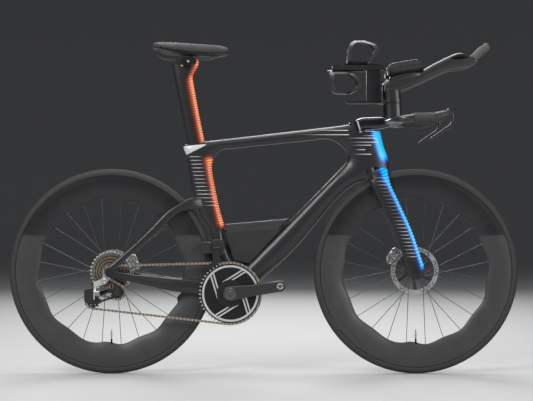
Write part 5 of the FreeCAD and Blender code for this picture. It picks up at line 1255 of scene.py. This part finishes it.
def arm_pad(name, side):
    """Swollen strip of foam, kept within the inside of its cup."""
    core = trough(name, side, PAD_OUTER, PAD_INNER, PAD_LIP, PAD_SHRINK)
    piece = inflated(core, voxel=0.003, limit=0.0016, seat=lambda spot: 0.0)
    middle = cup_middle(side)
    for vertex in piece.data.vertices:
        offset = vertex.co - middle
        reach = offset - CUP_RUN * offset.dot(CUP_RUN)
        if reach.length > PAD_LIMIT:
            vertex.co -= reach * (1 - PAD_LIMIT / reach.length)
    return piece


def fabric_finish(name, dark, light):
    """Knitted cloth with two slanting sets of loops."""
    material, place = new_finish(name)
    x, y, _ = axes(place)
    knit = dashes(x + 0.4 * y, KNIT_PITCH, KNIT_WIDTH) + dashes(y - 0.4 * x, KNIT_PITCH, KNIT_WIDTH)
    colour = blend(0.5 * knit * grain(place, 120), dark, light)
    rough = 0.82 + 0.1 * grain(place, 300)
    return close_finish(
        material, place, colour, rough, knit, 0.0002, Sheen_Weight=0.25, Sheen_Roughness=0.5
    )


pad_cloth = fabric_finish("pad_cloth", (0.013, 0.013, 0.014, 1), (0.04, 0.04, 0.042, 1))
for hand, side in HANDS:
    pad = arm_pad("arm_cushion_" + hand, side)
    pad.data.materials.append(pad_cloth)
    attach(pad, "steering")
    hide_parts("arm_pads")

# Bottle bracket and cages: a folded alloy bracket behind the risers, with two open carbon
# cages clipped above and below its top plate.
dress(anodised, "bottle_bracket")
dress(bare_carbon, "bottle_cages")

# Studio: a round dish that curves up into a wall, painted pale round the bike and grey farther out
# as a painted pool of light, broad soft lights, and the camera level with the bike on its drive side.
DISH_MIDDLE = 0.5
DISH_FLOOR = 10.0
DISH_CURVE = 4.0
DISH_TOP = 9.0
DISH_SIDES = 96
CURVE_STEPS = 12
LIGHT_POOL_FADE = (1.2, 8.0)


def studio_dish():
    """Round floor with a curved wall, painted pale near the bike and grey far from it as a pool of light.
    """
    profile = [(DISH_MIDDLE, 0.0), (DISH_FLOOR, 0.0)]
    for k in range(1, CURVE_STEPS + 1):
        turn = math.pi / 2 * k / CURVE_STEPS
        profile.append((DISH_FLOOR + DISH_CURVE * math.sin(turn), DISH_CURVE * (1 - math.cos(turn))))
    profile.append((DISH_FLOOR + DISH_CURVE, DISH_TOP))
    made = bmesh.new()
    rows = []
    for radius, height in profile:
        turns = [2 * math.pi * k / DISH_SIDES for k in range(DISH_SIDES)]
        rows.append([made.verts.new((radius * math.cos(t), radius * math.sin(t), height)) for t in turns])
    made.faces.new(rows[0])
    for first, second in zip(rows, rows[1:]):
        for k in range(DISH_SIDES):
            made.faces.new((first[k], first[k - 1], second[k - 1], second[k]))
    for face in made.faces:
        face.smooth = True
    bmesh.ops.recalc_face_normals(made, faces=made.faces)
    mesh = bpy.data.meshes.new("studio")
    made.to_mesh(mesh)
    made.free()
    dish = bpy.data.objects.new("studio", mesh)
    bpy.context.scene.collection.objects.link(dish)
    material, place = new_finish("studio_paper")
    x, y, z = axes(place)
    radius = x.node("Math", {"operation": "SQRT"}, _0=x * x + y * y)
    floor = blend(grain(place, 2.0), (0.44, 0.44, 0.437, 1), (0.47, 0.47, 0.467, 1))
    # Painted pool of light: pale round the bike, fading to grey on the far floor and the wall.
    tone = blend(ease(radius + z, *LIGHT_POOL_FADE), floor, (0.13, 0.132, 0.137, 1))
    dish.data.materials.append(close_finish(material, place, tone, 0.8 + 0.1 * grain(place, 5.0)))


LIGHT_AIM = Vector((0, 0, 0.55))


def soft_light(name, spot, size, energy):
    """Round soft box aimed at the middle of the bike."""
    lamp = bpy.data.lights.new(name, "AREA")
    lamp.shape, lamp.size, lamp.energy = "DISK", size, energy
    light = bpy.data.objects.new(name, lamp)
    light.location = spot
    light.rotation_euler = (LIGHT_AIM - Vector(spot)).to_track_quat("-Z", "Y").to_euler()
    bpy.context.scene.collection.objects.link(light)


studio_dish()
soft_light("key", (-2.4, -3.4, 3.0), 2.2, 150)
soft_light("fill", (3.0, -3.2, 1.6), 2.0, 80)
soft_light("top", (0.2, 0.6, 3.6), 3.0, 110)
soft_light("back", (0.0, 4.0, 2.4), 2.4, 90)
world = bpy.data.worlds.new("room")
world.use_nodes = True
world.node_tree.nodes["Background"].inputs["Color"].default_value = (0.9, 0.92, 0.95, 1)
world.node_tree.nodes["Background"].inputs["Strength"].default_value = 0.35
bpy.context.scene.world = world
bpy.context.scene.view_settings.view_transform = "Standard"

lens = bpy.data.cameras.new("camera")
lens.sensor_width, lens.lens = 36.0, 107.8
camera = bpy.data.objects.new("camera", lens)
camera.location = (0.0095, -5.3, 0.574)
camera.rotation_euler = (math.pi / 2, 0, 0)
bpy.context.scene.collection.objects.link(camera)
bpy.context.scene.camera = camera
